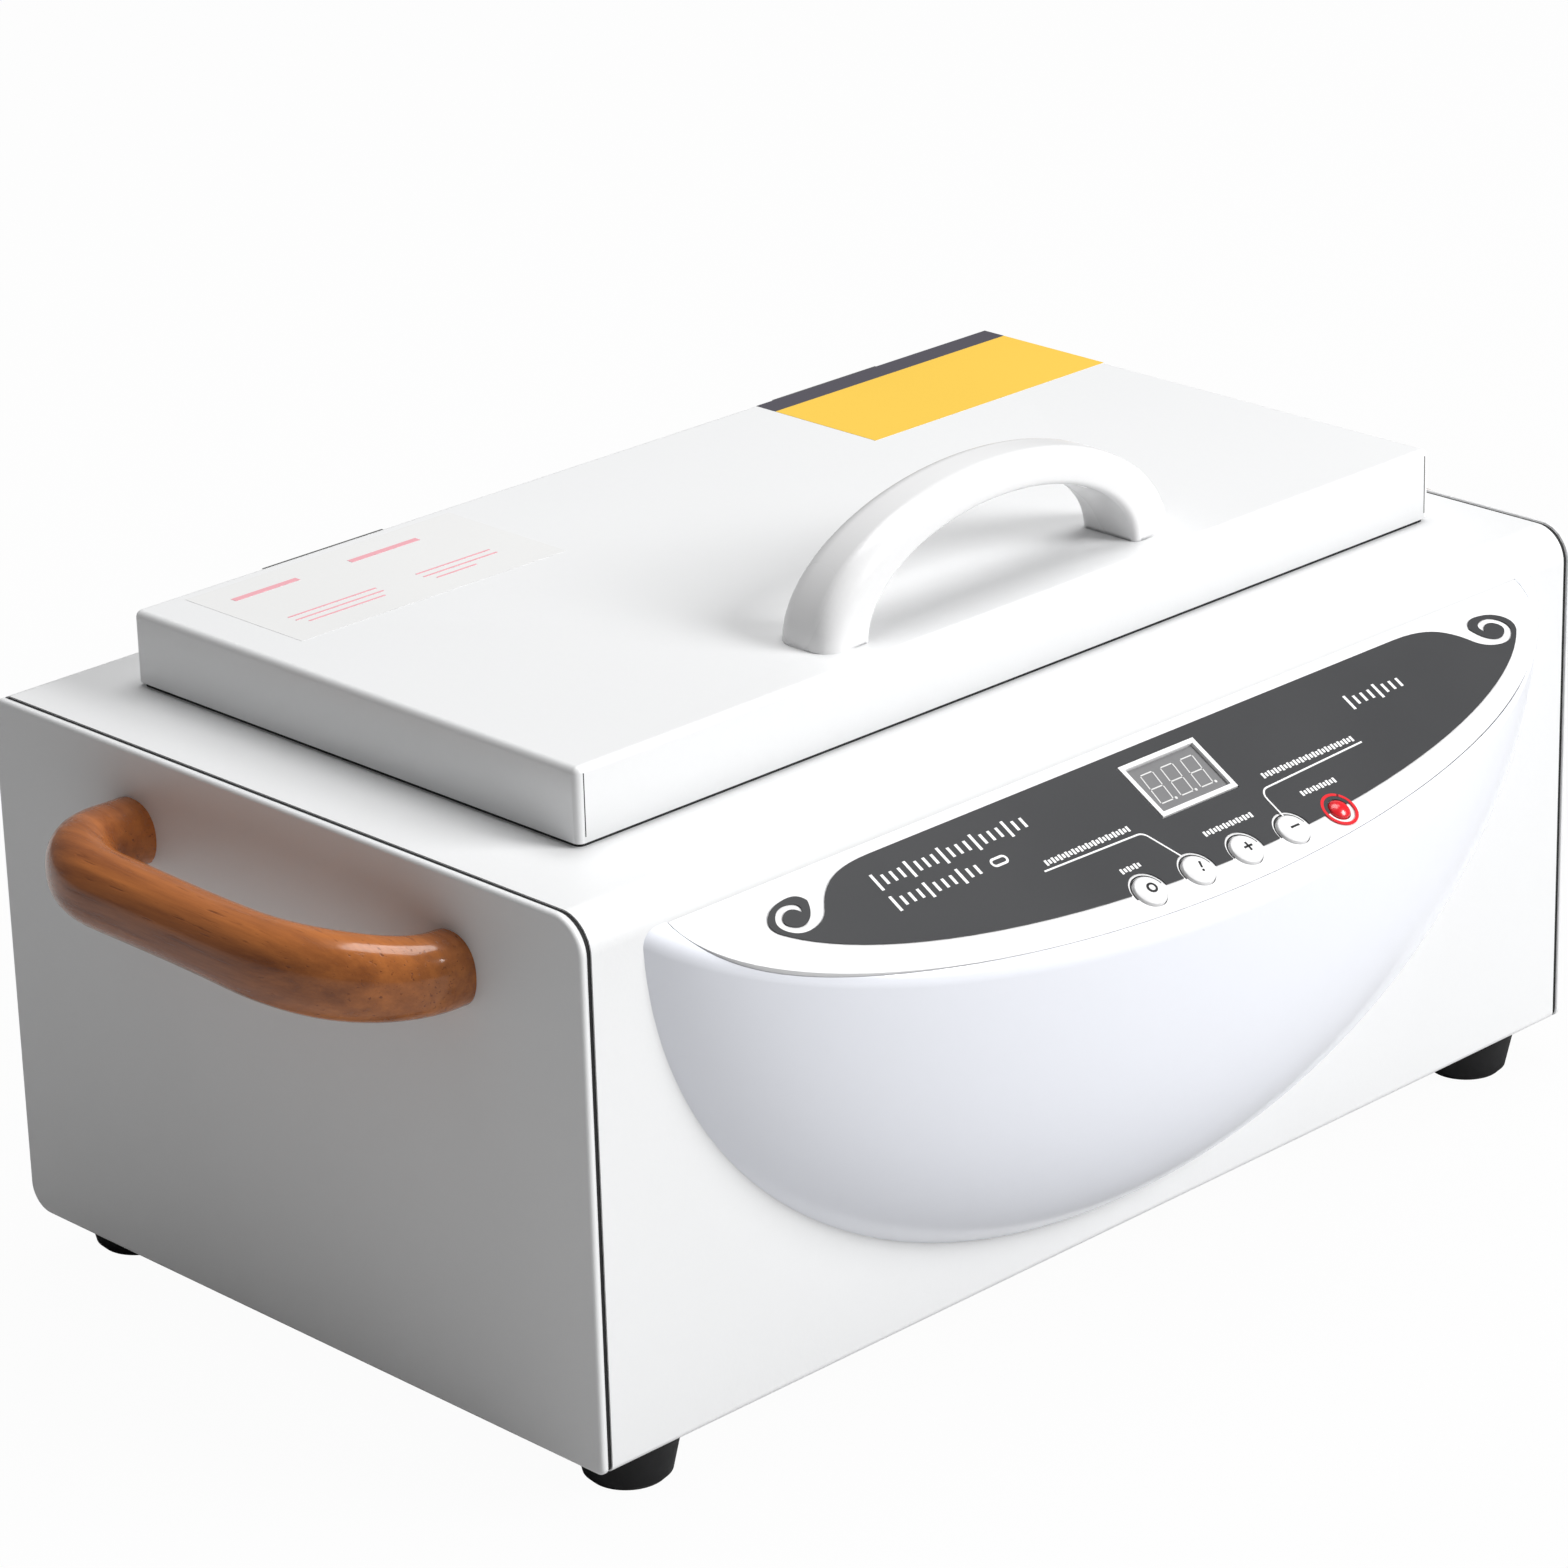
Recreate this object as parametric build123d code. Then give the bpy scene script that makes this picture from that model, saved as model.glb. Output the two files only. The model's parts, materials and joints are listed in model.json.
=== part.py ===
from build123d import *
import math
import os

# A bench-top dry heat sterilizer. A folded white steel case stands on four rubber feet and carries a stainless
# tank that opens upward. A hinged box lid with a bow handle closes the tank. A moulded control housing with a
# sloping key panel is screwed to the front wall, and a wooden grip to each end panel.
#
# Pieces are modelled in the case frame: X to the right as seen from the front with 0 in the middle of the case,
# Y from the front wall to the back, Z up from the lower edge of the case. At the end every piece is moved so
# that the origin is the middle of the whole part's box, on the surface that it stands on.
# Lengths are in millimetres.

# Case
CASE_W = 374.0
CASE_D = 226.0
CASE_H = 147.3
SHEET = 1.0
TOP_FRONT_R = 9.5
TOP_BACK_R = 4.0
LOW_BACK_R = 7.5
LOW_FRONT_R = 2.0
FLANGE_D = 32.0
END_T = 2.0
END_EDGE_R = 1.2
RIM_LEN = 12.0
RIM_T = 1.2
SEAL_T = 1.5
SEAL_SETBACK = 0.4
BASE_T = 1.2
FIT = 0.3
VENT_L = 26.0
VENT_W = 3.0
VENT_PITCH = 9.0
VENT_COUNT = 9
BASE_VENT_X = 60.0
REAR_VENT_Z = 105.0
REAR_VENT_ROWS = 2
REAR_VENT_ROW_PITCH = 150.0

# Feet
FOOT_H = 13.0
FOOT_TOP_R = 14.0
FOOT_LOW_R = 11.5
FOOT_EDGE = 1.5
FOOT_RECESS_R = 5.0
FOOT_RECESS_H = 6.0
FOOT_INSET_X = 23.0
FOOT_INSET_Y = 16.0

# Screws: shank radius, head radius and head height of the three sizes used, and the play of a clearance hole
SMALL_SCREW = (1.25, 2.5, 1.4)
MEDIUM_SCREW = (1.5, 3.0, 1.8)
LARGE_SCREW = (2.0, 4.0, 2.5)
SCREW_PLAY = 0.2
NUT_H = 3.0
NUT_R = 3.6

# Wooden grips on the end panels
GRIP_FRONT_Y = 47.0
GRIP_BACK_Y = 169.0
GRIP_FRONT_Z = 123.0
GRIP_BACK_Z = 125.0
GRIP_REACH = 38.0
GRIP_HALF_T = 9.0
GRIP_BOW = 3.0
GRIP_FRONT_R = 26.0
GRIP_BACK_R = 18.0
GRIP_BOW_R = 150.0
GRIP_SCREW_DEPTH = 14.0

# Lid
LID_W = 321.6
LID_D = 170.1
LID_X = 4.8
LID_FRONT_Y = 33.4
LID_TOP = 21.0
LID_EDGE_R = 2.0
LID_SHEET = 1.0
LID_LIP = 10.0
LID_SEAL_T = 1.2
LID_SEAL_W = 7.0
LINER_T = 0.8
LINER_RIM_GAP = 1.5
PLUG_GAP = 4.0
PLUG_DROP = 5.2
PLUG_R = 10.0
LID_WOOL_TOP = 15.0

# Lid handle
BOW_X = 4.3
BOW_Y = 52.0
BOW_SPAN = 132.0
BOW_H = 35.0
BOW_LEG_T = 16.0
BOW_TOP_T = 9.0
BOW_W = 20.0
BOW_OUT_R = 6.5
BOW_IN_R = 2.0

# Hinges
HINGE_OUT_R = 2.8
HINGE_PIN_R = 1.5
HINGE_PLAY = 0.05
HINGE_RISE = 3.1
LEAF_T = 1.2
LEAF_L = 42.0
LEAF_DEPTH = 15.0
LEAF_RISE = 17.0
KNUCKLE_GAP = 0.4
HINGE_OFFSET_X = 95.0
LEAF_SCREW_PITCH = 26.0

# Tank, tray and heater
TANK_W = 277.0
TANK_D = 125.5
TANK_DEPTH = 66.0
TANK_R = 14.0
TANK_LOW_R = 5.0
TANK_SHEET = 0.8
TANK_FLANGE = 10.0
GASKET_W = 6.0
GASKET_H = 1.4
GASKET_SETBACK = 2.0
TRAY_W = 250.0
TRAY_D = 112.0
TRAY_H = 40.0
TRAY_R = 9.0
TRAY_SHEET = 0.8
TRAY_RIM = 4.0
TRAY_FOOT_H = 3.0
TRAY_FOOT_R = 5.0
SLOT_L = 22.0
SLOT_W = 5.0
SLOT_COLUMNS = 10
SLOT_ROWS = 3
WOOL_T = 12.0
SHIELD_SHEET = 0.6
SHIELD_LIP = 8.0
HEATER_SPACE = 12.0
HEATER_R = 3.2
HEATER_REACH_X = 112.0
HEATER_REACH_Y = 44.0
HEATER_BEND_R = 14.0
HEATER_TAIL = 30.0
TERMINAL_R = 5.0
TERMINAL_L = 10.0
CUTOUT_R = 8.0
CUTOUT_H = 7.0
PROBE_R = 2.0
PROBE_REACH = 8.0
PROBE_Z = 98.0

# Control housing: an ellipsoid cut by the front wall and by the sloping key panel
POD_X = 1.5
POD_TOP_Z = 139.0
POD_SLOPE = 30.5
POD_HALF_W = 175.6
POD_HALF_D = 71.0
POD_HALF_H = 135.5
POD_SINK = 20.0
POD_EDGE_R = 5.5
POD_WALL = 2.5
POD_LEDGE_T = 2.2
POD_LEDGE_W = 5.0
POD_RELIEF_W = 1.6
BOSS_R = 4.5
BOSS_PLACES = ((-112.0, 112.0), (112.0, 112.0), (-58.0, 32.0), (62.0, 32.0))
BOSS_BORE_DEPTH = 12.0

# Key panel, measured across (x) and down the slope (u) from the wall line
PLATE_HALF_W = 160.5
PLATE_DEPTH = 53.0
PLATE_T = 2.5
PLATE_GAP = 0.25
OVERLAY_X = 6.2
OVERLAY_T = 0.4
OVERLAY_TOP_U = 3.7
OVERLAY_HALF_W = 146.0
OVERLAY_DEPTH = 41.3
TIP_U = 15.2
KEY_X = 7.1
KEY_PITCH = 18.2
KEY_U = 44.0
KEY_R = 4.7
KEY_RING_R = 6.0
KEY_GAP = 0.3
KEY_DOME_H = 1.3
KEY_COLLAR_T = 1.0
KEY_COLLAR_W = 1.4
KEY_TRAVEL = 0.6
KEY_NAMES = ("menu", "select", "plus", "minus", "power")
POWER_KEY_R = 3.1
WINDOW_X = 6.8
WINDOW_U = 17.2
WINDOW_W = 29.2
WINDOW_H = 18.8
FRAME_W = 1.7
FRAME_PROUD = 0.3
BOARD_X = 6.8
BOARD_W = 132.0
BOARD_U = (7.0, 50.0)
BOARD_DEPTH = 9.5
BOARD_T = 1.6
BOARD_FIX_INSET = 6.5
SWITCH_SIDE = 6.0
SWITCH_H = 3.4
SWITCH_STEM_R = 1.6
SWITCH_STEM_GAP = 0.1
STANDOFF_R = 3.0

# Power side
POWER_BOARD_X = -96.0
POWER_BOARD_Y = 112.0
POWER_BOARD_W = 96.0
POWER_BOARD_D = 80.0
STANDOFF_H = 8.0
INLET_X = 120.0
INLET_Z = 34.0
INLET_W = 50.0
INLET_H = 28.0
INLET_PROUD = 2.5
INLET_BODY_W = 29.0
INLET_BODY_H = 22.0
INLET_BODY_D = 22.0
INLET_MOUTH_W = 24.5
INLET_MOUTH_H = 17.0
INLET_MOUTH_D = 16.5
INLET_PIN_BACK = 5.0
INLET_SCREW_PITCH = 40.0

WRAP_W = CASE_W - 2 * (END_T + SEAL_T)
RIM_INSET = SHEET + BASE_T
LID_BACK_Y = LID_FRONT_Y + LID_D
TANK_Y = LID_FRONT_Y + LID_D / 2
TANK_BOTTOM_Z = CASE_H - TANK_DEPTH
WOOL_BOTTOM_Z = TANK_BOTTOM_Z - HEATER_SPACE - WOOL_T
HINGE_Y = LID_BACK_Y + HINGE_OUT_R + FIT
HINGE_Z = CASE_H + HINGE_RISE
SLOPE_SIN = math.sin(math.radians(POD_SLOPE))
SLOPE_COS = math.cos(math.radians(POD_SLOPE))
PANEL = Plane(origin=(0, 0, POD_TOP_Z), x_dir=(1, 0, 0), z_dir=(0, -SLOPE_SIN, SLOPE_COS))
LOW = (Align.CENTER, Align.CENTER, Align.MIN)
HIGH = (Align.CENTER, Align.CENTER, Align.MAX)
FOOT_PLACES = [
    (side * (CASE_W / 2 - FOOT_INSET_X), y)
    for side in (-1, 1)
    for y in (FOOT_INSET_Y, CASE_D - FOOT_INSET_Y)
]


def on_panel(x, u, rise=0.0):
    """A place on the key panel, rise above its surface, with local Z out of the panel."""
    return PANEL * Pos(x, -u, rise)


def key_places():
    """The middle of each key on the panel, by name."""
    first = KEY_X - KEY_PITCH * (len(KEY_NAMES) - 1) / 2
    return {name: (first + KEY_PITCH * i, KEY_U) for i, name in enumerate(KEY_NAMES)}


def screw(size, length, head_up=True):
    """A pan-head screw with its head seated at Z = 0 and its shank running down, or up if head_up is false."""
    shank_r, head_r, head_h = size
    piece = Cylinder(head_r, head_h, align=LOW) + Cylinder(shank_r, length, align=HIGH)
    return piece if head_up else Rot(180, 0, 0) * piece


def facing_y(piece, x, y, z, back=True):
    """Turns a piece made along +Z to point to +Y, or to -Y, and puts it at x, y, z."""
    return Pos(x, y, z) * Rot(-90 if back else 90, 0, 0) * piece


def facing_x(piece, x, y, z, right=True):
    """Turns a piece made along +Z to point to +X, or to -X, and puts it at x, y, z."""
    return Pos(x, y, z) * Rot(0, 90 if right else -90, 0) * piece


def rounded_box(w, d, h, r, low_r=0.0):
    """A block standing on Z = 0 with rounded upright edges and, if asked, a rounded lower edge."""
    block = extrude(RectangleRounded(w, d, r), h)
    if low_r:
        block = fillet(block.faces().sort_by(Axis.Z)[0].edges(), low_r)
    return block


def case_profile(inset):
    """The side outline of the case as a face in the YZ plane, drawn inset from the outer skin."""
    low, high_y, high_z = inset, CASE_D - inset, CASE_H - inset
    corners = [(low, low), (high_y, low), (high_y, high_z), (low, high_z)]
    radii = [max(r - inset, FIT) for r in (LOW_FRONT_R, LOW_BACK_R, TOP_BACK_R, TOP_FRONT_R)]
    return Plane.YZ * make_face(FilletPolyline(*corners, radius=radii, close=True))


def case_ring(outer_inset, inner_inset, length, x):
    """A ring that follows the case's side outline, from x inward along +X for length."""
    ring = case_profile(outer_inset) - case_profile(inner_inset)
    return Pos(x, 0, 0) * extrude(ring, length)


def vent_slots(count, length, width, pitch):
    """A row of upright round-ended slots through a sheet, centred on the origin in the XY plane."""
    slot = Rot(0, 0, 90) * SlotOverall(length, width)
    return Sketch() + [Pos((i - (count - 1) / 2) * pitch, 0) * slot for i in range(count)]


def case_wrap():
    """Front, top and back of the case, folded from one sheet, with flanges turned in at the bottom."""
    wrap = case_ring(0, SHEET, WRAP_W, -WRAP_W / 2)
    gap_d = CASE_D - 2 * FLANGE_D
    wrap -= Pos(0, CASE_D / 2, 0) * Box(WRAP_W, gap_d, 3 * SHEET)
    mouth = rounded_box(TANK_W + 2, TANK_D + 2, 3 * SHEET, TANK_R + 1)
    wrap -= Pos(LID_X, TANK_Y, CASE_H - 2 * SHEET) * mouth
    inlet_hole = Box(INLET_BODY_W + 1, 4 * SHEET, INLET_BODY_H + 1)
    wrap -= Pos(INLET_X, CASE_D, INLET_Z) * inlet_hole
    for side in (-1, 1):
        hole = Cylinder(MEDIUM_SCREW[0] + SCREW_PLAY, 4 * SHEET)
        wrap -= facing_y(hole, INLET_X + side * INLET_SCREW_PITCH / 2, CASE_D, INLET_Z)
    for x, z in BOSS_PLACES:
        wrap -= facing_y(Cylinder(MEDIUM_SCREW[0] + SCREW_PLAY, 4 * SHEET), x, 0, z)
    for x, y in FOOT_PLACES:
        wrap -= Pos(x, y, 0) * Cylinder(LARGE_SCREW[0] + SCREW_PLAY, 4 * SHEET)
    for x in leaf_screw_xs():
        wrap -= Pos(x, fixed_leaf_screw_y(), CASE_H) * Cylinder(SMALL_SCREW[0], 4 * SHEET)
    slots = vent_slots(VENT_COUNT, VENT_L, VENT_W, VENT_PITCH)
    for row in range(REAR_VENT_ROWS):
        x = (row - (REAR_VENT_ROWS - 1) / 2) * REAR_VENT_ROW_PITCH
        wall_plane = Plane(origin=(x, CASE_D - 2 * SHEET, REAR_VENT_Z), x_dir=(1, 0, 0), z_dir=(0, -1, 0))
        wrap -= extrude(wall_plane * slots, -4 * SHEET)
    return wrap


def end_panel(side):
    """A flat end plate with rounded edges and a rim that slips inside the case sheet."""
    inner_x = CASE_W / 2 - END_T
    plate = Pos(inner_x, 0, 0) * extrude(case_profile(0), END_T)
    plate = fillet(plate.faces().sort_by(Axis.X)[-1].edges(), END_EDGE_R)
    plate += case_ring(RIM_INSET, RIM_INSET + RIM_T, RIM_LEN, inner_x - RIM_LEN)
    for y, z in ((GRIP_FRONT_Y, GRIP_FRONT_Z), (GRIP_BACK_Y, GRIP_BACK_Z)):
        plate -= facing_x(Cylinder(LARGE_SCREW[0] + SCREW_PLAY, 4 * END_T), CASE_W / 2, y, z)
    for y in (CASE_D * 0.27, CASE_D * 0.73):
        plate -= Pos(inner_x - RIM_LEN / 2, y, RIM_INSET) * Cylinder(MEDIUM_SCREW[0] + SCREW_PLAY, 4 * RIM_T)
    return plate if side > 0 else mirror(plate, Plane.YZ)


def end_seal(side):
    """The black rubber edging between an end plate and the folded sheet."""
    ring = case_ring(SEAL_SETBACK, RIM_INSET, SEAL_T, WRAP_W / 2)
    return ring if side > 0 else mirror(ring, Plane.YZ)


def base_plate():
    """The bottom sheet, laid on the turned-in flanges, with vent slots under the tank."""
    front = LOW_FRONT_R + FIT
    back = CASE_D - LOW_BACK_R - FIT
    plate = Pos(0, (front + back) / 2, SHEET) * Box(WRAP_W - 2 * FIT, back - front, BASE_T, align=LOW)
    for x, y in FOOT_PLACES:
        plate -= Pos(x, y, SHEET) * Cylinder(LARGE_SCREW[0] + SCREW_PLAY, 4 * BASE_T)
    for x in (-CASE_W / 2 + END_T + RIM_LEN / 2, CASE_W / 2 - END_T - RIM_LEN / 2):
        for y in (CASE_D * 0.27, CASE_D * 0.73):
            plate -= Pos(x, y, SHEET) * Cylinder(MEDIUM_SCREW[0] + SCREW_PLAY, 4 * BASE_T)
    slots = vent_slots(VENT_COUNT, VENT_L, VENT_W, VENT_PITCH)
    for y in (CASE_D / 2 - VENT_L, CASE_D / 2 + VENT_L):
        plate -= Pos(BASE_VENT_X, y, 0) * extrude(slots, 4 * BASE_T)
    for x, y in power_standoff_places():
        plate -= Pos(x, y, SHEET) * Cylinder(SMALL_SCREW[0] + SCREW_PLAY, 4 * BASE_T)
    return plate


def foot(x, y):
    """A tapered rubber foot with a recess for its screw."""
    bore_r = LARGE_SCREW[0] + SCREW_PLAY
    profile = Polyline(
        (bore_r, 0),
        (FOOT_TOP_R, 0),
        (FOOT_LOW_R, -FOOT_H + FOOT_EDGE),
        (FOOT_LOW_R - FOOT_EDGE, -FOOT_H),
        (FOOT_RECESS_R, -FOOT_H),
        (FOOT_RECESS_R, -FOOT_H + FOOT_RECESS_H),
        (bore_r, -FOOT_H + FOOT_RECESS_H),
        close=True,
    )
    return Pos(x, y, 0) * revolve(Plane.XZ * make_face(profile), Axis.Z)


def foot_screws():
    """One screw up through each foot, the flange and the base plate."""
    seat = -FOOT_H + FOOT_RECESS_H
    length = -seat + SHEET + BASE_T + NUT_H + 1
    return [Pos(x, y, seat) * screw(LARGE_SCREW, length, head_up=False) for x, y in FOOT_PLACES]


def foot_nuts():
    """A hexagon nut on each foot screw, on top of the base plate."""
    ring = RegularPolygon(NUT_R, 6) - Circle(LARGE_SCREW[0])
    nut = extrude(ring, NUT_H)
    return [Pos(x, y, SHEET + BASE_T) * nut for x, y in FOOT_PLACES]


def base_screws():
    """Screws from below that hold the end panels' rims to the base plate."""
    places = [
        (side * (CASE_W / 2 - END_T - RIM_LEN / 2), y)
        for side in (-1, 1)
        for y in (CASE_D * 0.27, CASE_D * 0.73)
    ]
    length = BASE_T + RIM_T + 2
    return [Pos(x, y, SHEET) * screw(MEDIUM_SCREW, length, head_up=False) for x, y in places]


def wooden_grip(side):
    """A bowed wooden grip, lofted along its path through oval sections that are fuller at the legs."""
    reach = GRIP_REACH - GRIP_HALF_T
    middle_y = (GRIP_FRONT_Y + GRIP_BACK_Y) / 2
    middle_z = (GRIP_FRONT_Z + GRIP_BACK_Z) / 2
    path = FilletPolyline(
        (0, GRIP_FRONT_Y, GRIP_FRONT_Z),
        (reach - GRIP_BOW, GRIP_FRONT_Y, GRIP_FRONT_Z),
        (reach, middle_y, middle_z),
        (reach - GRIP_BOW, GRIP_BACK_Y, GRIP_BACK_Z),
        (0, GRIP_BACK_Y, GRIP_BACK_Z),
        radius=[GRIP_FRONT_R, GRIP_BOW_R, GRIP_BACK_R],
    )
    stations = {
        0.0: 10.0,
        0.07: 11.2,
        0.14: 12.0,
        0.22: 11.4,
        0.36: 9.6,
        0.5: 9.1,
        0.64: 9.3,
        0.8: 10.0,
        0.87: 10.2,
        0.94: 9.4,
        1.0: 8.8,
    }
    sections = []
    for share, half_h in stations.items():
        along = path % share
        plane = Plane(origin=path @ share, x_dir=Vector(0, 0, 1).cross(along), z_dir=along)
        sections.append(plane * Ellipse(GRIP_HALF_T, half_h))
    grip = Pos(CASE_W / 2, 0, 0) * loft(sections)
    for y, z in ((GRIP_FRONT_Y, GRIP_FRONT_Z), (GRIP_BACK_Y, GRIP_BACK_Z)):
        grip -= facing_x(Cylinder(LARGE_SCREW[0], GRIP_SCREW_DEPTH, align=LOW), CASE_W / 2, y, z)
    return grip if side > 0 else mirror(grip, Plane.YZ)


def grip_screws():
    """Screws from inside each end panel into the legs of its grip."""
    seat_x = CASE_W / 2 - END_T
    screws = []
    for y, z in ((GRIP_FRONT_Y, GRIP_FRONT_Z), (GRIP_BACK_Y, GRIP_BACK_Z)):
        piece = screw(LARGE_SCREW, END_T + GRIP_SCREW_DEPTH - 1)
        screws.append(facing_x(piece, seat_x, y, z, right=False))
    return screws + [mirror(piece, Plane.YZ) for piece in screws]


def lid_cover():
    """The folded lid box, open below, with a lip turned in round its lower edge."""
    low = LID_SEAL_T
    block = Pos(0, 0, low) * Box(LID_W, LID_D, LID_TOP - low, align=LOW)
    block = fillet(block.edges().filter_by(Axis.Z) + block.faces().sort_by(Axis.Z)[-1].edges(), LID_EDGE_R)
    room_h = LID_TOP - low - 2 * LID_SHEET
    room = Box(LID_W - 2 * LID_SHEET, LID_D - 2 * LID_SHEET, room_h, align=LOW)
    block -= Pos(0, 0, low + LID_SHEET) * room
    mouth = Box(LID_W - 2 * LID_LIP, LID_D - 2 * LID_LIP, 4 * LID_SHEET)
    block -= Pos(0, 0, low) * mouth
    lid = Pos(LID_X, TANK_Y, CASE_H) * block
    for x, y in bow_screw_places():
        lid -= Pos(x, y, CASE_H + LID_TOP) * Cylinder(LARGE_SCREW[0] + SCREW_PLAY, 4 * LID_SHEET)
    for x in leaf_screw_xs():
        hole = Cylinder(SMALL_SCREW[0] + SCREW_PLAY, 4 * LID_SHEET)
        lid -= facing_y(hole, x, LID_BACK_Y, lid_leaf_screw_z())
    return lid


def lid_seal():
    """The thin black seal strip under the lid's lip."""
    w, d = LID_W - 2, LID_D - 2
    ring = RectangleRounded(w, d, LID_EDGE_R) - Rectangle(w - 2 * LID_SEAL_W, d - 2 * LID_SEAL_W)
    return Pos(LID_X, TANK_Y, CASE_H) * extrude(ring, LID_SEAL_T)


def lid_liner():
    """The pressed stainless pan that closes the lid from below and dips into the tank's mouth."""
    rim_z = CASE_H + LID_SEAL_T + LID_SHEET
    inner_w = LID_W - 2 * LID_SHEET - 2 * LINER_RIM_GAP
    inner_d = LID_D - 2 * LID_SHEET - 2 * LINER_RIM_GAP
    plug_w, plug_d = plug_size()
    rim = Pos(0, 0, 0) * Box(inner_w, inner_d, LINER_T, align=LOW)
    dip = Pos(0, 0, -PLUG_DROP) * rounded_box(plug_w, plug_d, PLUG_DROP + LINER_T, PLUG_R, 2.0)
    hollow_w, hollow_d = plug_w - 2 * LINER_T, plug_d - 2 * LINER_T
    hollow = rounded_box(hollow_w, hollow_d, PLUG_DROP + LINER_T, PLUG_R - LINER_T, 1.2)
    pan = rim + dip - Pos(0, 0, -PLUG_DROP + LINER_T) * hollow
    return Pos(LID_X, TANK_Y, rim_z) * pan


def plug_size():
    """Width and depth of the part of the lid liner that dips into the tank."""
    mouth_w = TANK_W - 2 * TANK_SHEET
    mouth_d = TANK_D - 2 * TANK_SHEET
    return mouth_w - 2 * PLUG_GAP, mouth_d - 2 * PLUG_GAP


def lid_insulation():
    """The mineral wool pad inside the lid, seated in the liner's dip."""
    plug_w, plug_d = plug_size()
    low = CASE_H + LID_SEAL_T + LID_SHEET - PLUG_DROP + LINER_T
    w, d = plug_w - 2 * LINER_T - 1, plug_d - 2 * LINER_T - 1
    pad = rounded_box(w, d, CASE_H + LID_WOOL_TOP - low, PLUG_R - LINER_T, 2.0)
    return Pos(LID_X, TANK_Y, low) * pad


def bow_screw_places():
    """Where the two handle screws pass through the lid."""
    reach = BOW_SPAN / 2 - BOW_LEG_T / 2
    return [(BOW_X - reach, BOW_Y), (BOW_X + reach, BOW_Y)]


def lid_handle():
    """The moulded bow handle: an arch that thins towards its top, rounded outside and flat inside."""
    outside = Ellipse(BOW_SPAN / 2, BOW_H)
    inside = Ellipse(BOW_SPAN / 2 - BOW_LEG_T, BOW_H - BOW_TOP_T)
    below = Pos(0, -BOW_H) * Rectangle(2 * BOW_SPAN, 2 * BOW_H)
    arch = extrude(Plane.XZ * (outside - inside - below), BOW_W / 2, both=True)
    curved = arch.edges().filter_by(lambda edge: edge.geom_type != GeomType.LINE)
    by_size = curved.sort_by(lambda edge: edge.length)
    arch = fillet(by_size[-2:], BOW_OUT_R)
    curved = arch.edges().filter_by(lambda edge: edge.geom_type == GeomType.ELLIPSE)
    inner = [edge for edge in curved if edge.bounding_box().max.Z < BOW_H - BOW_TOP_T + FIT]
    arch = fillet(inner, BOW_IN_R)
    handle = Pos(BOW_X, BOW_Y, CASE_H + LID_TOP) * arch
    for x, y in bow_screw_places():
        bore = Cylinder(LARGE_SCREW[0], 9, align=LOW)
        handle -= Pos(x, y, CASE_H + LID_TOP) * bore
    return handle


def handle_screws():
    """Two screws up through the lid into the handle's feet."""
    seat = CASE_H + LID_TOP - LID_SHEET
    return [Pos(x, y, seat) * screw(LARGE_SCREW, LID_SHEET + 8, head_up=False) for x, y in bow_screw_places()]


def hinge_xs():
    """The middle of each of the two hinges."""
    return [LID_X - HINGE_OFFSET_X, LID_X + HINGE_OFFSET_X]


def leaf_screw_xs():
    """Where the leaf screws stand along X, for both hinges."""
    return [x + side * LEAF_SCREW_PITCH / 2 for x in hinge_xs() for side in (-1, 1)]


def lid_leaf_screw_z():
    """Height of the screws that hold the moving leaves to the lid's back."""
    return CASE_H + HINGE_RISE + LEAF_RISE * 0.55


def fixed_leaf_screw_y():
    """How far back the screws of the fixed leaves stand."""
    return HINGE_Y + LEAF_DEPTH * 0.6


def leaf_screw_cone():
    """A countersunk head and shank, head flush with Z = 0 and shank running down."""
    head = Cone(SMALL_SCREW[0], SMALL_SCREW[1], LEAF_T, align=HIGH)
    return head + Cylinder(SMALL_SCREW[0], 5, align=HIGH)


def knuckle(x, length, bore_r):
    """A hinge barrel piece along X, centred on x."""
    barrel = Cylinder(HINGE_OUT_R, length) - Cylinder(bore_r, length)
    return facing_x(barrel, x, HINGE_Y, HINGE_Z)


def fixed_leaf(x):
    """The case-side leaf with its two outer knuckles."""
    share = LEAF_L / 3
    plate = Pos(x, HINGE_Y, CASE_H) * Box(LEAF_L, LEAF_DEPTH, LEAF_T, align=(Align.CENTER, Align.MIN, Align.MIN))
    plate -= Pos(x, HINGE_Y, CASE_H) * Box(share + KNUCKLE_GAP, 2 * (HINGE_OUT_R + FIT), 2 * LEAF_T + LEAF_T)
    for side in (-1, 1):
        outer = share - KNUCKLE_GAP / 2
        plate += knuckle(x + side * (LEAF_L - outer) / 2, outer, HINGE_PIN_R)
        bore = Cylinder(HINGE_PIN_R, LEAF_L + 1)
        plate -= facing_x(bore, x, HINGE_Y, HINGE_Z)
    for side in (-1, 1):
        at = Pos(x + side * LEAF_SCREW_PITCH / 2, fixed_leaf_screw_y(), CASE_H + LEAF_T)
        plate -= at * Cone(SMALL_SCREW[0], SMALL_SCREW[1], LEAF_T, align=HIGH)
    return plate


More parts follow.
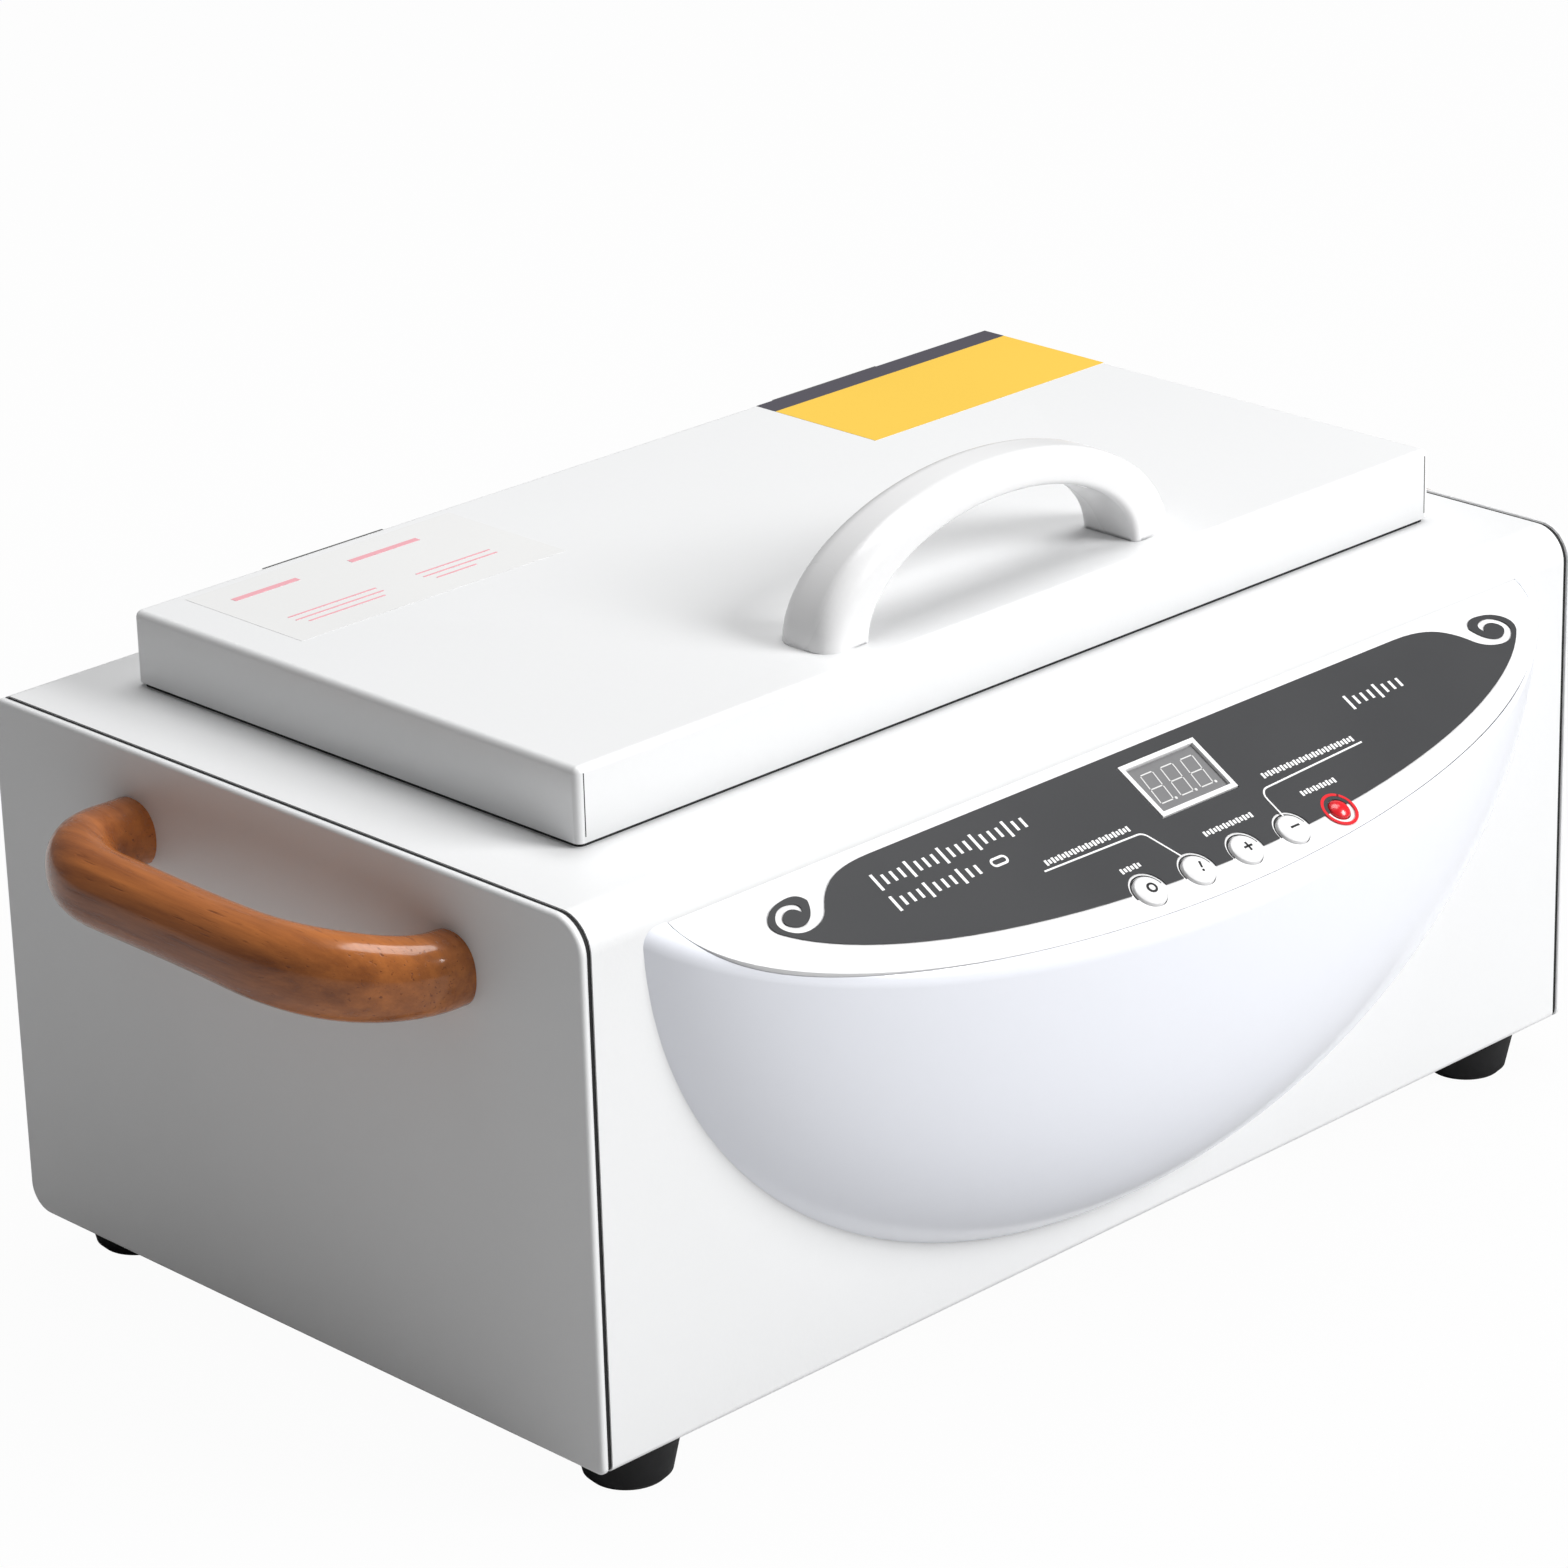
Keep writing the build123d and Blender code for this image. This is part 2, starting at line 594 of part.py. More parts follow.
def moving_leaf(x):
    """The lid-side leaf with its middle knuckle."""
    share = LEAF_L / 3 - KNUCKLE_GAP
    foot_z = HINGE_Z
    plate = Pos(x, LID_BACK_Y, foot_z) * Box(LEAF_L, LEAF_T, LEAF_RISE, align=(Align.CENTER, Align.MIN, Align.MIN))
    clear_h = HINGE_OUT_R + FIT
    for side in (-1, 1):
        notch_l = LEAF_L / 3 + KNUCKLE_GAP
        notch_x = x + side * (LEAF_L / 2 - LEAF_L / 6 + KNUCKLE_GAP / 2)
        plate -= Pos(notch_x, LID_BACK_Y, foot_z) * Box(notch_l, 4 * LEAF_T, clear_h, align=LOW)
    plate += knuckle(x, share, HINGE_PIN_R + HINGE_PLAY)
    plate -= facing_x(Cylinder(HINGE_PIN_R + HINGE_PLAY, LEAF_L), x, HINGE_Y, HINGE_Z)
    for side in (-1, 1):
        cone = Cone(SMALL_SCREW[0], SMALL_SCREW[1], LEAF_T, align=HIGH)
        plate -= facing_y(cone, x + side * LEAF_SCREW_PITCH / 2, LID_BACK_Y + LEAF_T, lid_leaf_screw_z())
    return plate


def hinge_pins():
    """The two hinge pins, held in the fixed knuckles."""
    return [facing_x(Cylinder(HINGE_PIN_R, LEAF_L), x, HINGE_Y, HINGE_Z) for x in hinge_xs()]


def fixed_leaf_screws():
    """Countersunk screws through the fixed leaves into the case top."""
    y = fixed_leaf_screw_y()
    return [Pos(x, y, CASE_H + LEAF_T) * leaf_screw_cone() for x in leaf_screw_xs()]


def moving_leaf_screws():
    """Countersunk screws through the moving leaves into the lid's back."""
    z = lid_leaf_screw_z()
    return [facing_y(leaf_screw_cone(), x, LID_BACK_Y + LEAF_T, z) for x in leaf_screw_xs()]


def chamber_tank():
    """The drawn stainless tank with a flange that rests on the case top."""
    body = Pos(0, 0, -TANK_DEPTH) * rounded_box(TANK_W, TANK_D, TANK_DEPTH, TANK_R, TANK_LOW_R)
    flange = rounded_box(TANK_W + 2 * TANK_FLANGE, TANK_D + 2 * TANK_FLANGE, TANK_SHEET, TANK_R + TANK_FLANGE / 2)
    room_w, room_d = TANK_W - 2 * TANK_SHEET, TANK_D - 2 * TANK_SHEET
    room = rounded_box(room_w, room_d, TANK_DEPTH + TANK_SHEET, TANK_R - TANK_SHEET, TANK_LOW_R - TANK_SHEET)
    tank = body + flange - Pos(0, 0, -TANK_DEPTH + TANK_SHEET) * room
    tank = Pos(LID_X, TANK_Y, CASE_H) * tank
    probe_hole = Cylinder(PROBE_R, 4 * TANK_SHEET)
    return tank - facing_x(probe_hole, LID_X - TANK_W / 2, TANK_Y, PROBE_Z)


def chamber_gasket():
    """The silicone strip on the tank's flange that the lid liner closes on."""
    w = TANK_W + 2 * (TANK_FLANGE - GASKET_SETBACK)
    d = TANK_D + 2 * (TANK_FLANGE - GASKET_SETBACK)
    r = TANK_R + TANK_FLANGE / 2
    ring = RectangleRounded(w, d, r) - RectangleRounded(w - 2 * GASKET_W, d - 2 * GASKET_W, r - GASKET_W)
    return Pos(LID_X, TANK_Y, CASE_H + TANK_SHEET) * extrude(ring, GASKET_H)


def tray_floor_z():
    """Height of the underside of the tray's floor."""
    return TANK_BOTTOM_Z + TANK_SHEET + TRAY_FOOT_H


def instrument_tray():
    """The perforated tray that lifts out of the tank, on four pressed feet."""
    rim_w, rim_d = TRAY_W + 2 * TRAY_RIM, TRAY_D + 2 * TRAY_RIM
    body = rounded_box(TRAY_W, TRAY_D, TRAY_H, TRAY_R, 3.0)
    rim = Pos(0, 0, TRAY_H - TRAY_SHEET) * rounded_box(rim_w, rim_d, TRAY_SHEET, TRAY_R + TRAY_RIM)
    room_w, room_d = TRAY_W - 2 * TRAY_SHEET, TRAY_D - 2 * TRAY_SHEET
    room = rounded_box(room_w, room_d, TRAY_H, TRAY_R - TRAY_SHEET, 3.0 - TRAY_SHEET)
    tray = body + rim - Pos(0, 0, TRAY_SHEET) * room
    pitch_x = TRAY_W / SLOT_COLUMNS
    pitch_y = TRAY_D / SLOT_ROWS
    slot = Rot(0, 0, 90) * SlotOverall(SLOT_L, SLOT_W)
    slots = Sketch() + [
        Pos((i - (SLOT_COLUMNS - 1) / 2) * pitch_x, (j - (SLOT_ROWS - 1) / 2) * pitch_y) * slot
        for i in range(SLOT_COLUMNS)
        for j in range(SLOT_ROWS)
    ]
    tray -= extrude(slots, 4 * TRAY_SHEET)
    for x in (-TRAY_W / 2 + pitch_x, TRAY_W / 2 - pitch_x):
        for y in (-pitch_y / 2, pitch_y / 2):
            tray += Pos(x, y, -TRAY_FOOT_H) * Cylinder(TRAY_FOOT_R, TRAY_FOOT_H + TRAY_SHEET / 2, align=LOW)
    return Pos(LID_X, TANK_Y, tray_floor_z()) * tray


def insulation_blanket():
    """The mineral wool round the tank and under the heater, open at the top."""
    height = CASE_H - SHEET - WOOL_BOTTOM_Z
    block = Box(TANK_W + 2 * WOOL_T, TANK_D + 2 * WOOL_T, height, align=LOW)
    room = rounded_box(TANK_W + 2 * FIT, TANK_D + 2 * FIT, height, TANK_R)
    blanket = Pos(LID_X, TANK_Y, WOOL_BOTTOM_Z) * (block - Pos(0, 0, WOOL_T) * room)
    for y in heater_tail_ys():
        hole = Cylinder(TERMINAL_R, 3 * WOOL_T)
        blanket -= facing_x(hole, LID_X - TANK_W / 2 - WOOL_T / 2, y, heater_z())
    hole = Cylinder(PROBE_R + 3, 3 * WOOL_T)
    return blanket - facing_x(hole, LID_X - TANK_W / 2 - WOOL_T / 2, TANK_Y, PROBE_Z)


def heat_shield():
    """The thin steel pan that hangs under the case top and holds the wool."""
    w = TANK_W + 2 * (WOOL_T + SHIELD_SHEET)
    d = TANK_D + 2 * (WOOL_T + SHIELD_SHEET)
    top = CASE_H - SHEET
    low = WOOL_BOTTOM_Z - SHIELD_SHEET
    pan = Box(w, d, top - low, align=LOW)
    room = Box(w - 2 * SHIELD_SHEET, d - 2 * SHIELD_SHEET, top - low, align=LOW)
    lip = Pos(0, 0, top - low - SHIELD_SHEET) * Box(w + 2 * SHIELD_LIP, d + 2 * SHIELD_LIP, SHIELD_SHEET, align=LOW)
    pan = Pos(LID_X, TANK_Y, low) * (pan + lip - Pos(0, 0, SHIELD_SHEET) * room)
    for y in heater_tail_ys():
        pan -= facing_x(Cylinder(TERMINAL_R, 4 * SHIELD_SHEET), LID_X - w / 2, y, heater_z())
    return pan - facing_x(Cylinder(PROBE_R + FIT, 4 * SHIELD_SHEET), LID_X - w / 2, TANK_Y, PROBE_Z)


def heater_z():
    """Height of the heater tube's middle, clamped up against the tank's bottom."""
    return TANK_BOTTOM_Z - HEATER_R


def heater_tail_ys():
    """Where the heater's two straight ends leave the insulation."""
    return (TANK_Y - HEATER_REACH_Y, TANK_Y + HEATER_REACH_Y)


def heating_element():
    """A tubular heater bent into a serpentine under the tank, with both ends out at the left."""
    left, right = LID_X - HEATER_REACH_X, LID_X + HEATER_REACH_X
    front, back = heater_tail_ys()
    step = 2 * HEATER_REACH_Y / 3
    end_x = LID_X - TANK_W / 2 - WOOL_T - HEATER_TAIL / 2
    path = FilletPolyline(
        (end_x, front),
        (right, front),
        (right, front + step),
        (left, front + step),
        (left, back - step),
        (right, back - step),
        (right, back),
        (end_x, back),
        radius=HEATER_BEND_R,
    )
    path = Pos(0, 0, heater_z()) * path
    section = Plane(origin=path @ 0, z_dir=path % 0) * Circle(HEATER_R)
    return sweep(section, path)


def heater_terminals():
    """Ceramic bushes that carry the heater's ends through the shield."""
    wall_x = LID_X - TANK_W / 2 - WOOL_T - SHIELD_SHEET
    bush = Cylinder(TERMINAL_R, TERMINAL_L + 4) - Cylinder(HEATER_R, TERMINAL_L + 4)
    collar = Cylinder(TERMINAL_R + 2, 2, align=LOW) - Cylinder(HEATER_R, 4)
    places = [(wall_x, y, heater_z()) for y in heater_tail_ys()]
    return [facing_x(bush + collar, x, y, z, right=False) for x, y, z in places]


def heater_clamps():
    """Two cross bars that press the heater tube up against the tank's bottom."""
    bar = Box(12, 2 * HEATER_REACH_Y + 24, 1.5, align=HIGH)
    legs = [Pos(0, side * (HEATER_REACH_Y + 8), 0) * Box(6, 4, 2 * HEATER_R, align=LOW) for side in (-1, 1)]
    clamp = bar + legs
    z = heater_z() - HEATER_R
    return [Pos(LID_X + side * HEATER_REACH_X / 2, TANK_Y, z) * clamp for side in (-1, 1)]


def thermal_cutout():
    """A round over-temperature cutout on the tank's bottom, between the heater's runs."""
    body = Cylinder(CUTOUT_R, CUTOUT_H, align=HIGH)
    tabs = [Pos(side * 4, 0, -CUTOUT_H) * Box(0.8, 6, 4, align=HIGH) for side in (-1, 1)]
    return Pos(LID_X, TANK_Y, TANK_BOTTOM_Z) * (body + tabs)


def temperature_probe():
    """A sheathed probe through the tank's left wall with a clamping nut outside."""
    wall_x = LID_X - TANK_W / 2
    outside = WOOL_T + 6
    sheath = Pos(0, 0, -outside) * Cylinder(PROBE_R, outside + TANK_SHEET + PROBE_REACH, align=LOW)
    nut = extrude(RegularPolygon(PROBE_R + 2.4, 6), -3)
    return facing_x(sheath + nut, wall_x, TANK_Y, PROBE_Z)


def pod_body(inset, drop):
    """The housing's ellipsoid, thinned by inset, below a plane that lies drop under the key panel."""
    radii = (POD_HALF_W - inset, POD_HALF_D - inset, POD_HALF_H - inset)
    body = Pos(POD_X, POD_SINK, POD_TOP_Z) * scale(Sphere(1), by=radii)
    room = 2 * CASE_W
    body -= Box(room, room, room, align=(Align.CENTER, Align.MIN, Align.CENTER))
    return body - on_panel(0, 0, -drop) * Box(room, room, room, align=LOW)


def panel_half_ellipse(half_w, depth):
    """A half ellipse on the panel's local axes, with its straight side on the wall line."""
    whole = Ellipse(half_w, depth)
    return Pos(POD_X, 0) * (whole - Pos(0, depth) * Rectangle(4 * half_w, 2 * depth))


def pod_housing():
    """The moulded housing: outer skin with a rounded top edge, hollow inside, with a ledge and screw bosses."""
    skin = pod_body(0, 0)
    rim = skin.edges().filter_by(lambda edge: edge.geom_type != GeomType.LINE)
    rim = [edge for edge in rim if abs(PANEL.to_local_coords(edge.center()).Z) < FIT]
    skin = fillet(rim, POD_EDGE_R)
    shell = skin - pod_body(POD_WALL, PLATE_T + POD_LEDGE_T)
    for x, z in BOSS_PLACES:
        post = facing_y(Cylinder(BOSS_R, POD_HALF_D, align=LOW), x, 0, z, back=False)
        shell += post & pod_body(POD_WALL / 2, PLATE_T + POD_LEDGE_T / 2)
        shell -= facing_y(Cylinder(MEDIUM_SCREW[0], BOSS_BORE_DEPTH, align=LOW), x, 0, z, back=False)
    recess = panel_half_ellipse(PLATE_HALF_W, PLATE_DEPTH)
    recess += Pos(POD_X, 0) * Rectangle(2 * PLATE_HALF_W, 2 * PLATE_T)
    window = panel_half_ellipse(PLATE_HALF_W - POD_LEDGE_W, PLATE_DEPTH - POD_LEDGE_W)
    window -= Pos(POD_X, 0) * Rectangle(4 * PLATE_HALF_W, 2 * POD_LEDGE_W)
    relief = panel_half_ellipse(PLATE_HALF_W - POD_RELIEF_W, PLATE_DEPTH - POD_RELIEF_W)
    relief &= Pos(BOARD_X, 0) * Rectangle(BOARD_W + 2 * FIT, 4 * PLATE_DEPTH)
    shell -= PANEL * extrude(recess, -PLATE_T)
    return shell - PANEL * extrude(window + relief, -2 * (PLATE_T + POD_LEDGE_T))


def pod_screws():
    """Screws from inside the case through the front wall into the housing's bosses."""
    length = SHEET + BOSS_BORE_DEPTH - 2
    return [facing_y(screw(MEDIUM_SCREW, length), x, SHEET, z) for x, z in BOSS_PLACES]


def panel_plate():
    """The white top plate, seated in the housing's recess, with the window and the key holes."""
    face = panel_half_ellipse(PLATE_HALF_W - PLATE_GAP, PLATE_DEPTH - PLATE_GAP)
    face -= Pos(WINDOW_X, -WINDOW_U) * Rectangle(WINDOW_W, WINDOW_H)
    for name, (x, u) in key_places().items():
        face -= Pos(x, -u) * Circle(key_radius(name) + KEY_GAP)
    plate = extrude(face, -PLATE_T)
    for x, y in board_standoff_places():
        post = Cylinder(STANDOFF_R, BOARD_DEPTH - PLATE_T, align=HIGH)
        post -= Cylinder(SMALL_SCREW[0], BOARD_DEPTH - PLATE_T, align=HIGH)
        plate += Pos(x, y, -PLATE_T) * post
    room = 2 * CASE_W
    return PANEL * plate - Pos(0, -FIT, 0) * Box(room, room, room, align=(Align.CENTER, Align.MIN, Align.CENTER))


def key_radius(name):
    """Radius of a key's cap."""
    return POWER_KEY_R if name == "power" else KEY_R


def curl(side):
    """One end of the overlay's outline on the panel's axes: shoulder, slot of the volute, and its outer turn."""
    def at(d, u):
        return (OVERLAY_X + side * d, -u)

    shoulder = Spline(at(100.0, OVERLAY_TOP_U), at(108.5, 4.3), at(115.5, 6.4), at(120.0, 9.4), at(123.0, 12.6))
    slot_out = Spline(
        at(123.0, 12.6),
        at(126.4, 15.7),
        at(131.0, 17.2),
        at(136.4, 16.5),
        at(139.2, 12.9),
        at(137.0, 9.5),
        at(132.6, 8.3),
        at(129.6, 9.6),
        at(130.2, 12.0),
    )
    slot_in = Spline(
        at(130.2, 12.0),
        at(132.0, 10.1),
        at(134.9, 10.3),
        at(136.9, 12.8),
        at(134.8, 15.0),
        at(131.0, 15.0),
        at(127.9, 12.6),
        at(126.2, 9.3),
    )
    outer_turn = Spline(at(126.2, 9.3), at(128.0, 7.2), at(133.0, 6.8), at(138.2, 8.4), at(141.2, 11.6), tip(at))
    return [shoulder, slot_out, slot_in, outer_turn]


def tip(at):
    """Where the outer turn of the volute runs into the overlay's lower curve."""
    share = (TIP_U - OVERLAY_TOP_U) / OVERLAY_DEPTH
    return at(OVERLAY_HALF_W * math.sqrt(1 - share**2), TIP_U)


def panel_overlay():
    """The thin black membrane with a volute at each end, cut out round the window and the keys."""
    left, right = curl(-1), curl(1)
    angle = math.degrees(math.asin((TIP_U - OVERLAY_TOP_U) / OVERLAY_DEPTH))
    lower = Pos(OVERLAY_X, -OVERLAY_TOP_U) * EllipticalCenterArc(
        (0, 0), OVERLAY_HALF_W, OVERLAY_DEPTH, start_angle=180 + angle, arc_size=180 - 2 * angle
    )
    upper = Line(left[0] @ 0, right[0] @ 0)
    face = make_face([upper, *left, *right, lower])
    face -= Pos(WINDOW_X, -WINDOW_U) * Rectangle(WINDOW_W, WINDOW_H)
    for name, (x, u) in key_places().items():
        radius = POWER_KEY_R + KEY_GAP if name == "power" else KEY_RING_R
        face -= Pos(x, -u) * Circle(radius)
    return PANEL * extrude(face, OVERLAY_T)


def key_cap(name):
    """A domed key cap with a collar under the plate and a short stem."""
    radius = key_radius(name)
    x, u = key_places()[name]
    skirt = Cylinder(radius, PLATE_T + OVERLAY_T, align=LOW)
    dome_r = (radius**2 + KEY_DOME_H**2) / (2 * KEY_DOME_H)
    dome = Sphere(dome_r) & Pos(0, 0, dome_r - KEY_DOME_H) * Cylinder(radius, KEY_DOME_H, align=LOW)
    skirt += Pos(0, 0, PLATE_T + OVERLAY_T - dome_r + KEY_DOME_H) * dome
    collar = Cylinder(radius + KEY_COLLAR_W, KEY_COLLAR_T, align=HIGH)
    stem = Pos(0, 0, -KEY_COLLAR_T) * Cylinder(SWITCH_STEM_R, key_stem(), align=HIGH)
    return on_panel(x, u, -PLATE_T) * (skirt + collar + stem)


def key_stem():
    """Length of a key's stem, which stops just short of the switch when the key is pressed home."""
    switch_top = BOARD_DEPTH - SWITCH_H - PLATE_T
    return switch_top - KEY_COLLAR_T - KEY_TRAVEL - SWITCH_STEM_GAP


def display_bezel():
    """The white frame round the display, slightly proud of the overlay, with a collar down to the board."""
    outer_w, outer_h = WINDOW_W - 2 * FIT, WINDOW_H - 2 * FIT
    ring = Rectangle(outer_w, outer_h) - Rectangle(WINDOW_W - 2 * FRAME_W, WINDOW_H - 2 * FRAME_W)
    bezel = extrude(ring, BOARD_DEPTH + OVERLAY_T + FRAME_PROUD)
    return on_panel(WINDOW_X, WINDOW_U, -BOARD_DEPTH) * bezel


def display_module():
    """The display block inside the frame, seated on the control board."""
    w, h = WINDOW_W - 2 * FRAME_W - 2 * PLATE_GAP, WINDOW_H - 2 * FRAME_W - 2 * PLATE_GAP
    return on_panel(WINDOW_X, WINDOW_U, -BOARD_DEPTH) * Box(w, h, BOARD_DEPTH - FIT, align=LOW)


def board_standoff_places():
    """The control board's four fixing points on the panel's local axes."""
    reach = BOARD_W / 2 - BOARD_FIX_INSET
    us = (BOARD_U[0] + BOARD_FIX_INSET, BOARD_U[1] - BOARD_FIX_INSET)
    return [(BOARD_X + side * reach, -u) for side in (-1, 1) for u in us]


def control_board():
    """The circuit board under the key panel, parallel to it."""
    middle_u = (BOARD_U[0] + BOARD_U[1]) / 2
    board = Box(BOARD_W, BOARD_U[1] - BOARD_U[0], BOARD_T, align=HIGH)
    board = Pos(BOARD_X, -middle_u, -BOARD_DEPTH) * board
    for x, y in board_standoff_places():
        board -= Pos(x, y, -BOARD_DEPTH) * Cylinder(SMALL_SCREW[0] + SCREW_PLAY, 4 * BOARD_T)
    return PANEL * board


def board_screws():
    """The identical small screws that hold the two circuit boards to their posts."""
    piece = screw(SMALL_SCREW, BOARD_T + 4)
    under = PANEL * Pos(0, 0, -BOARD_DEPTH - BOARD_T)
    control = [under * Pos(x, y, 0) * Rot(180, 0, 0) * piece for x, y in board_standoff_places()]
    return control + [Pos(x, y, power_board_top()) * piece for x, y in power_standoff_places()]


def key_switches():
    """A tact switch on the control board under each key."""
    stem_h = 0.9
    body = Box(SWITCH_SIDE, SWITCH_SIDE, SWITCH_H - stem_h, align=LOW)
    body += Pos(0, 0, SWITCH_H - stem_h) * Cylinder(SWITCH_STEM_R, stem_h, align=LOW)
    return [on_panel(x, u, -BOARD_DEPTH) * body for x, u in key_places().values()]


def power_standoff_places():
    """The power board's four fixing points on the base plate."""
    return [
        (POWER_BOARD_X + sx * (POWER_BOARD_W / 2 - 5), POWER_BOARD_Y + sy * (POWER_BOARD_D / 2 - 5))
        for sx in (-1, 1)
        for sy in (-1, 1)
    ]


def power_standoffs():
    """Posts swaged into the base plate that carry the power board."""
    post = Cylinder(STANDOFF_R, STANDOFF_H, align=LOW) - Cylinder(SMALL_SCREW[0], STANDOFF_H, align=LOW)
    post += Cylinder(SMALL_SCREW[0] + SCREW_PLAY, BASE_T, align=HIGH)
    return [Pos(x, y, SHEET + BASE_T) * post for x, y in power_standoff_places()]


def power_board():
    """The power circuit board on the base plate."""
    board = Pos(POWER_BOARD_X, POWER_BOARD_Y, power_board_top() - BOARD_T)
    board = board * Box(POWER_BOARD_W, POWER_BOARD_D, BOARD_T, align=LOW)
    for x, y in power_standoff_places():
        board -= Pos(x, y, power_board_top()) * Cylinder(SMALL_SCREW[0] + SCREW_PLAY, 4 * BOARD_T)
    return board


def power_board_top():
    """Height of the power board's upper face."""
    return SHEET + BASE_T + STANDOFF_H + BOARD_T


def transformer():
    """The small mains transformer: a laminated core with its coil former."""
    core = Box(34, 14, 29, align=LOW)
    coil = Pos(0, 0, 5) * rounded_box(24, 28, 19, 3)
    return Pos(POWER_BOARD_X - 22, POWER_BOARD_Y + 14, power_board_top()) * (core + coil)


def heater_relay():
    """The relay that switches the heater."""
    case = fillet(Box(19, 15.5, 15.5, align=LOW).edges().filter_by(Axis.Z), 1.0)
    return Pos(POWER_BOARD_X + 20, POWER_BOARD_Y + 18, power_board_top()) * case


def terminal_block():
    """The screw terminals on the power board."""
    block = Box(30, 10, 12, align=LOW)
    for i in range(4):
        block -= Pos(-11.25 + 7.5 * i, 0, 12) * Cylinder(2.2, 8)
    return Pos(POWER_BOARD_X + 10, POWER_BOARD_Y - 24, power_board_top()) * block


def power_inlet():
    """The mains inlet in the back wall: flange, body, socket mouth and three pins."""
    flange = Pos(0, 0, 0) * extrude(RectangleRounded(INLET_W, INLET_H, 4), INLET_PROUD)
    body = Box(INLET_BODY_W, INLET_BODY_H, INLET_BODY_D, align=HIGH)
    mouth = rounded_box(INLET_MOUTH_W, INLET_MOUTH_H, INLET_MOUTH_D, 2)
    inlet = flange + body - Pos(0, 0, INLET_PROUD - INLET_MOUTH_D) * mouth
    pin_l = INLET_MOUTH_D - INLET_PIN_BACK
    for x, y in ((-7, -2), (7, -2), (0, 2)):
        inlet += Pos(x, y, INLET_PROUD - INLET_MOUTH_D) * Box(2, 4, pin_l, align=LOW)
    for side in (-1, 1):
        inlet -= Pos(side * INLET_SCREW_PITCH / 2, 0, 0) * Cylinder(MEDIUM_SCREW[0] + SCREW_PLAY, 4 * INLET_PROUD)
    return facing_y(inlet, INLET_X, CASE_D, INLET_Z)


def inlet_screws():
    """Two screws that hold the inlet's flange, with their heads sunk to its face."""
    piece = screw(MEDIUM_SCREW, INLET_PROUD + SHEET + 4)
    return [
        facing_y(piece, INLET_X + side * INLET_SCREW_PITCH / 2, CASE_D + INLET_PROUD, INLET_Z) for side in (-1, 1)
    ]


def all_pieces():
    """Every piece by its node name. A list is a group of separate solids."""
    pieces = {
        "case_wrap": case_wrap(),
        "left_end_panel": end_panel(-1),
        "right_end_panel": end_panel(1),
        "left_end_seal": end_seal(-1),
        "right_end_seal": end_seal(1),
        "base_plate": base_plate(),
        "foot_screws": foot_screws(),
        "foot_nuts": foot_nuts(),
        "base_screws": base_screws(),
        "left_grip": wooden_grip(-1),
        "right_grip": wooden_grip(1),
        "grip_screws": grip_screws(),
        "pod_housing": pod_housing(),
        "pod_screws": pod_screws(),
        "panel_plate": panel_plate(),
        "panel_overlay": panel_overlay(),
        "display_bezel": display_bezel(),
        "display_module": display_module(),
        "control_board": control_board(),
        "board_screws": board_screws(),
        "key_switches": key_switches(),
        "power_board": power_board(),
        "power_standoffs": power_standoffs(),
        "transformer": transformer(),
        "heater_relay": heater_relay(),
        "terminal_block": terminal_block(),
        "power_inlet": power_inlet(),
        "inlet_screws": inlet_screws(),
        "chamber_tank": chamber_tank(),
        "chamber_gasket": chamber_gasket(),
        "instrument_tray": instrument_tray(),
        "heating_element": heating_element(),
        "heater_terminals": heater_terminals(),
        "heater_clamps": heater_clamps(),
        "thermal_cutout": thermal_cutout(),
        "temperature_probe": temperature_probe(),
        "insulation_blanket": insulation_blanket(),
        "heat_shield": heat_shield(),
        "hinge_pins": hinge_pins(),
        "fixed_leaf_screws": fixed_leaf_screws(),
        "lid_cover": lid_cover(),
        "lid_seal": lid_seal(),
        "lid_liner": lid_liner(),
        "lid_insulation": lid_insulation(),
        "lid_handle": lid_handle(),
        "handle_screws": handle_screws(),
        "moving_leaf_screws": moving_leaf_screws(),
    }
    corners = ("front_left", "rear_left", "front_right", "rear_right")
    for name, (x, y) in zip(corners, FOOT_PLACES):
        pieces[f"{name}_foot"] = foot(x, y)
    for name, x in zip(("left", "right"), hinge_xs()):
        pieces[f"{name}_fixed_leaf"] = fixed_leaf(x)
        pieces[f"{name}_moving_leaf"] = moving_leaf(x)
    for name in KEY_NAMES:
        pieces[f"{name}_key"] = key_cap(name)
    return pieces


def part_offset(pieces):
    """The move from the case frame to the part's frame, whose origin is the middle of the part's box."""
    front = pieces["pod_housing"].bounding_box().min.Y
    back = max(piece.bounding_box().max.Y for piece in [pieces["power_inlet"], *pieces["inlet_screws"]])
    return Pos(0, -(front + back) / 2, FOOT_H)


def main():
    os.makedirs("parts", exist_ok=True)
    pieces = all_pieces()
    move = part_offset(pieces)
    for name, piece in pieces.items():
        solids = piece if isinstance(piece, list) else [piece]
        placed = [solid for item in solids for solid in (move * item).solids()]
        shape = placed[0] if len(placed) == 1 else Compound(children=placed)
        export_step(shape, f"parts/{name}.step")


if __name__ == "__main__":
    main()
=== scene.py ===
"""Finishes, printed panel, labels and studio for a bench-top dry heat sterilizer."""

import json
import math

import bmesh
import bpy
from mathutils import Matrix, Vector


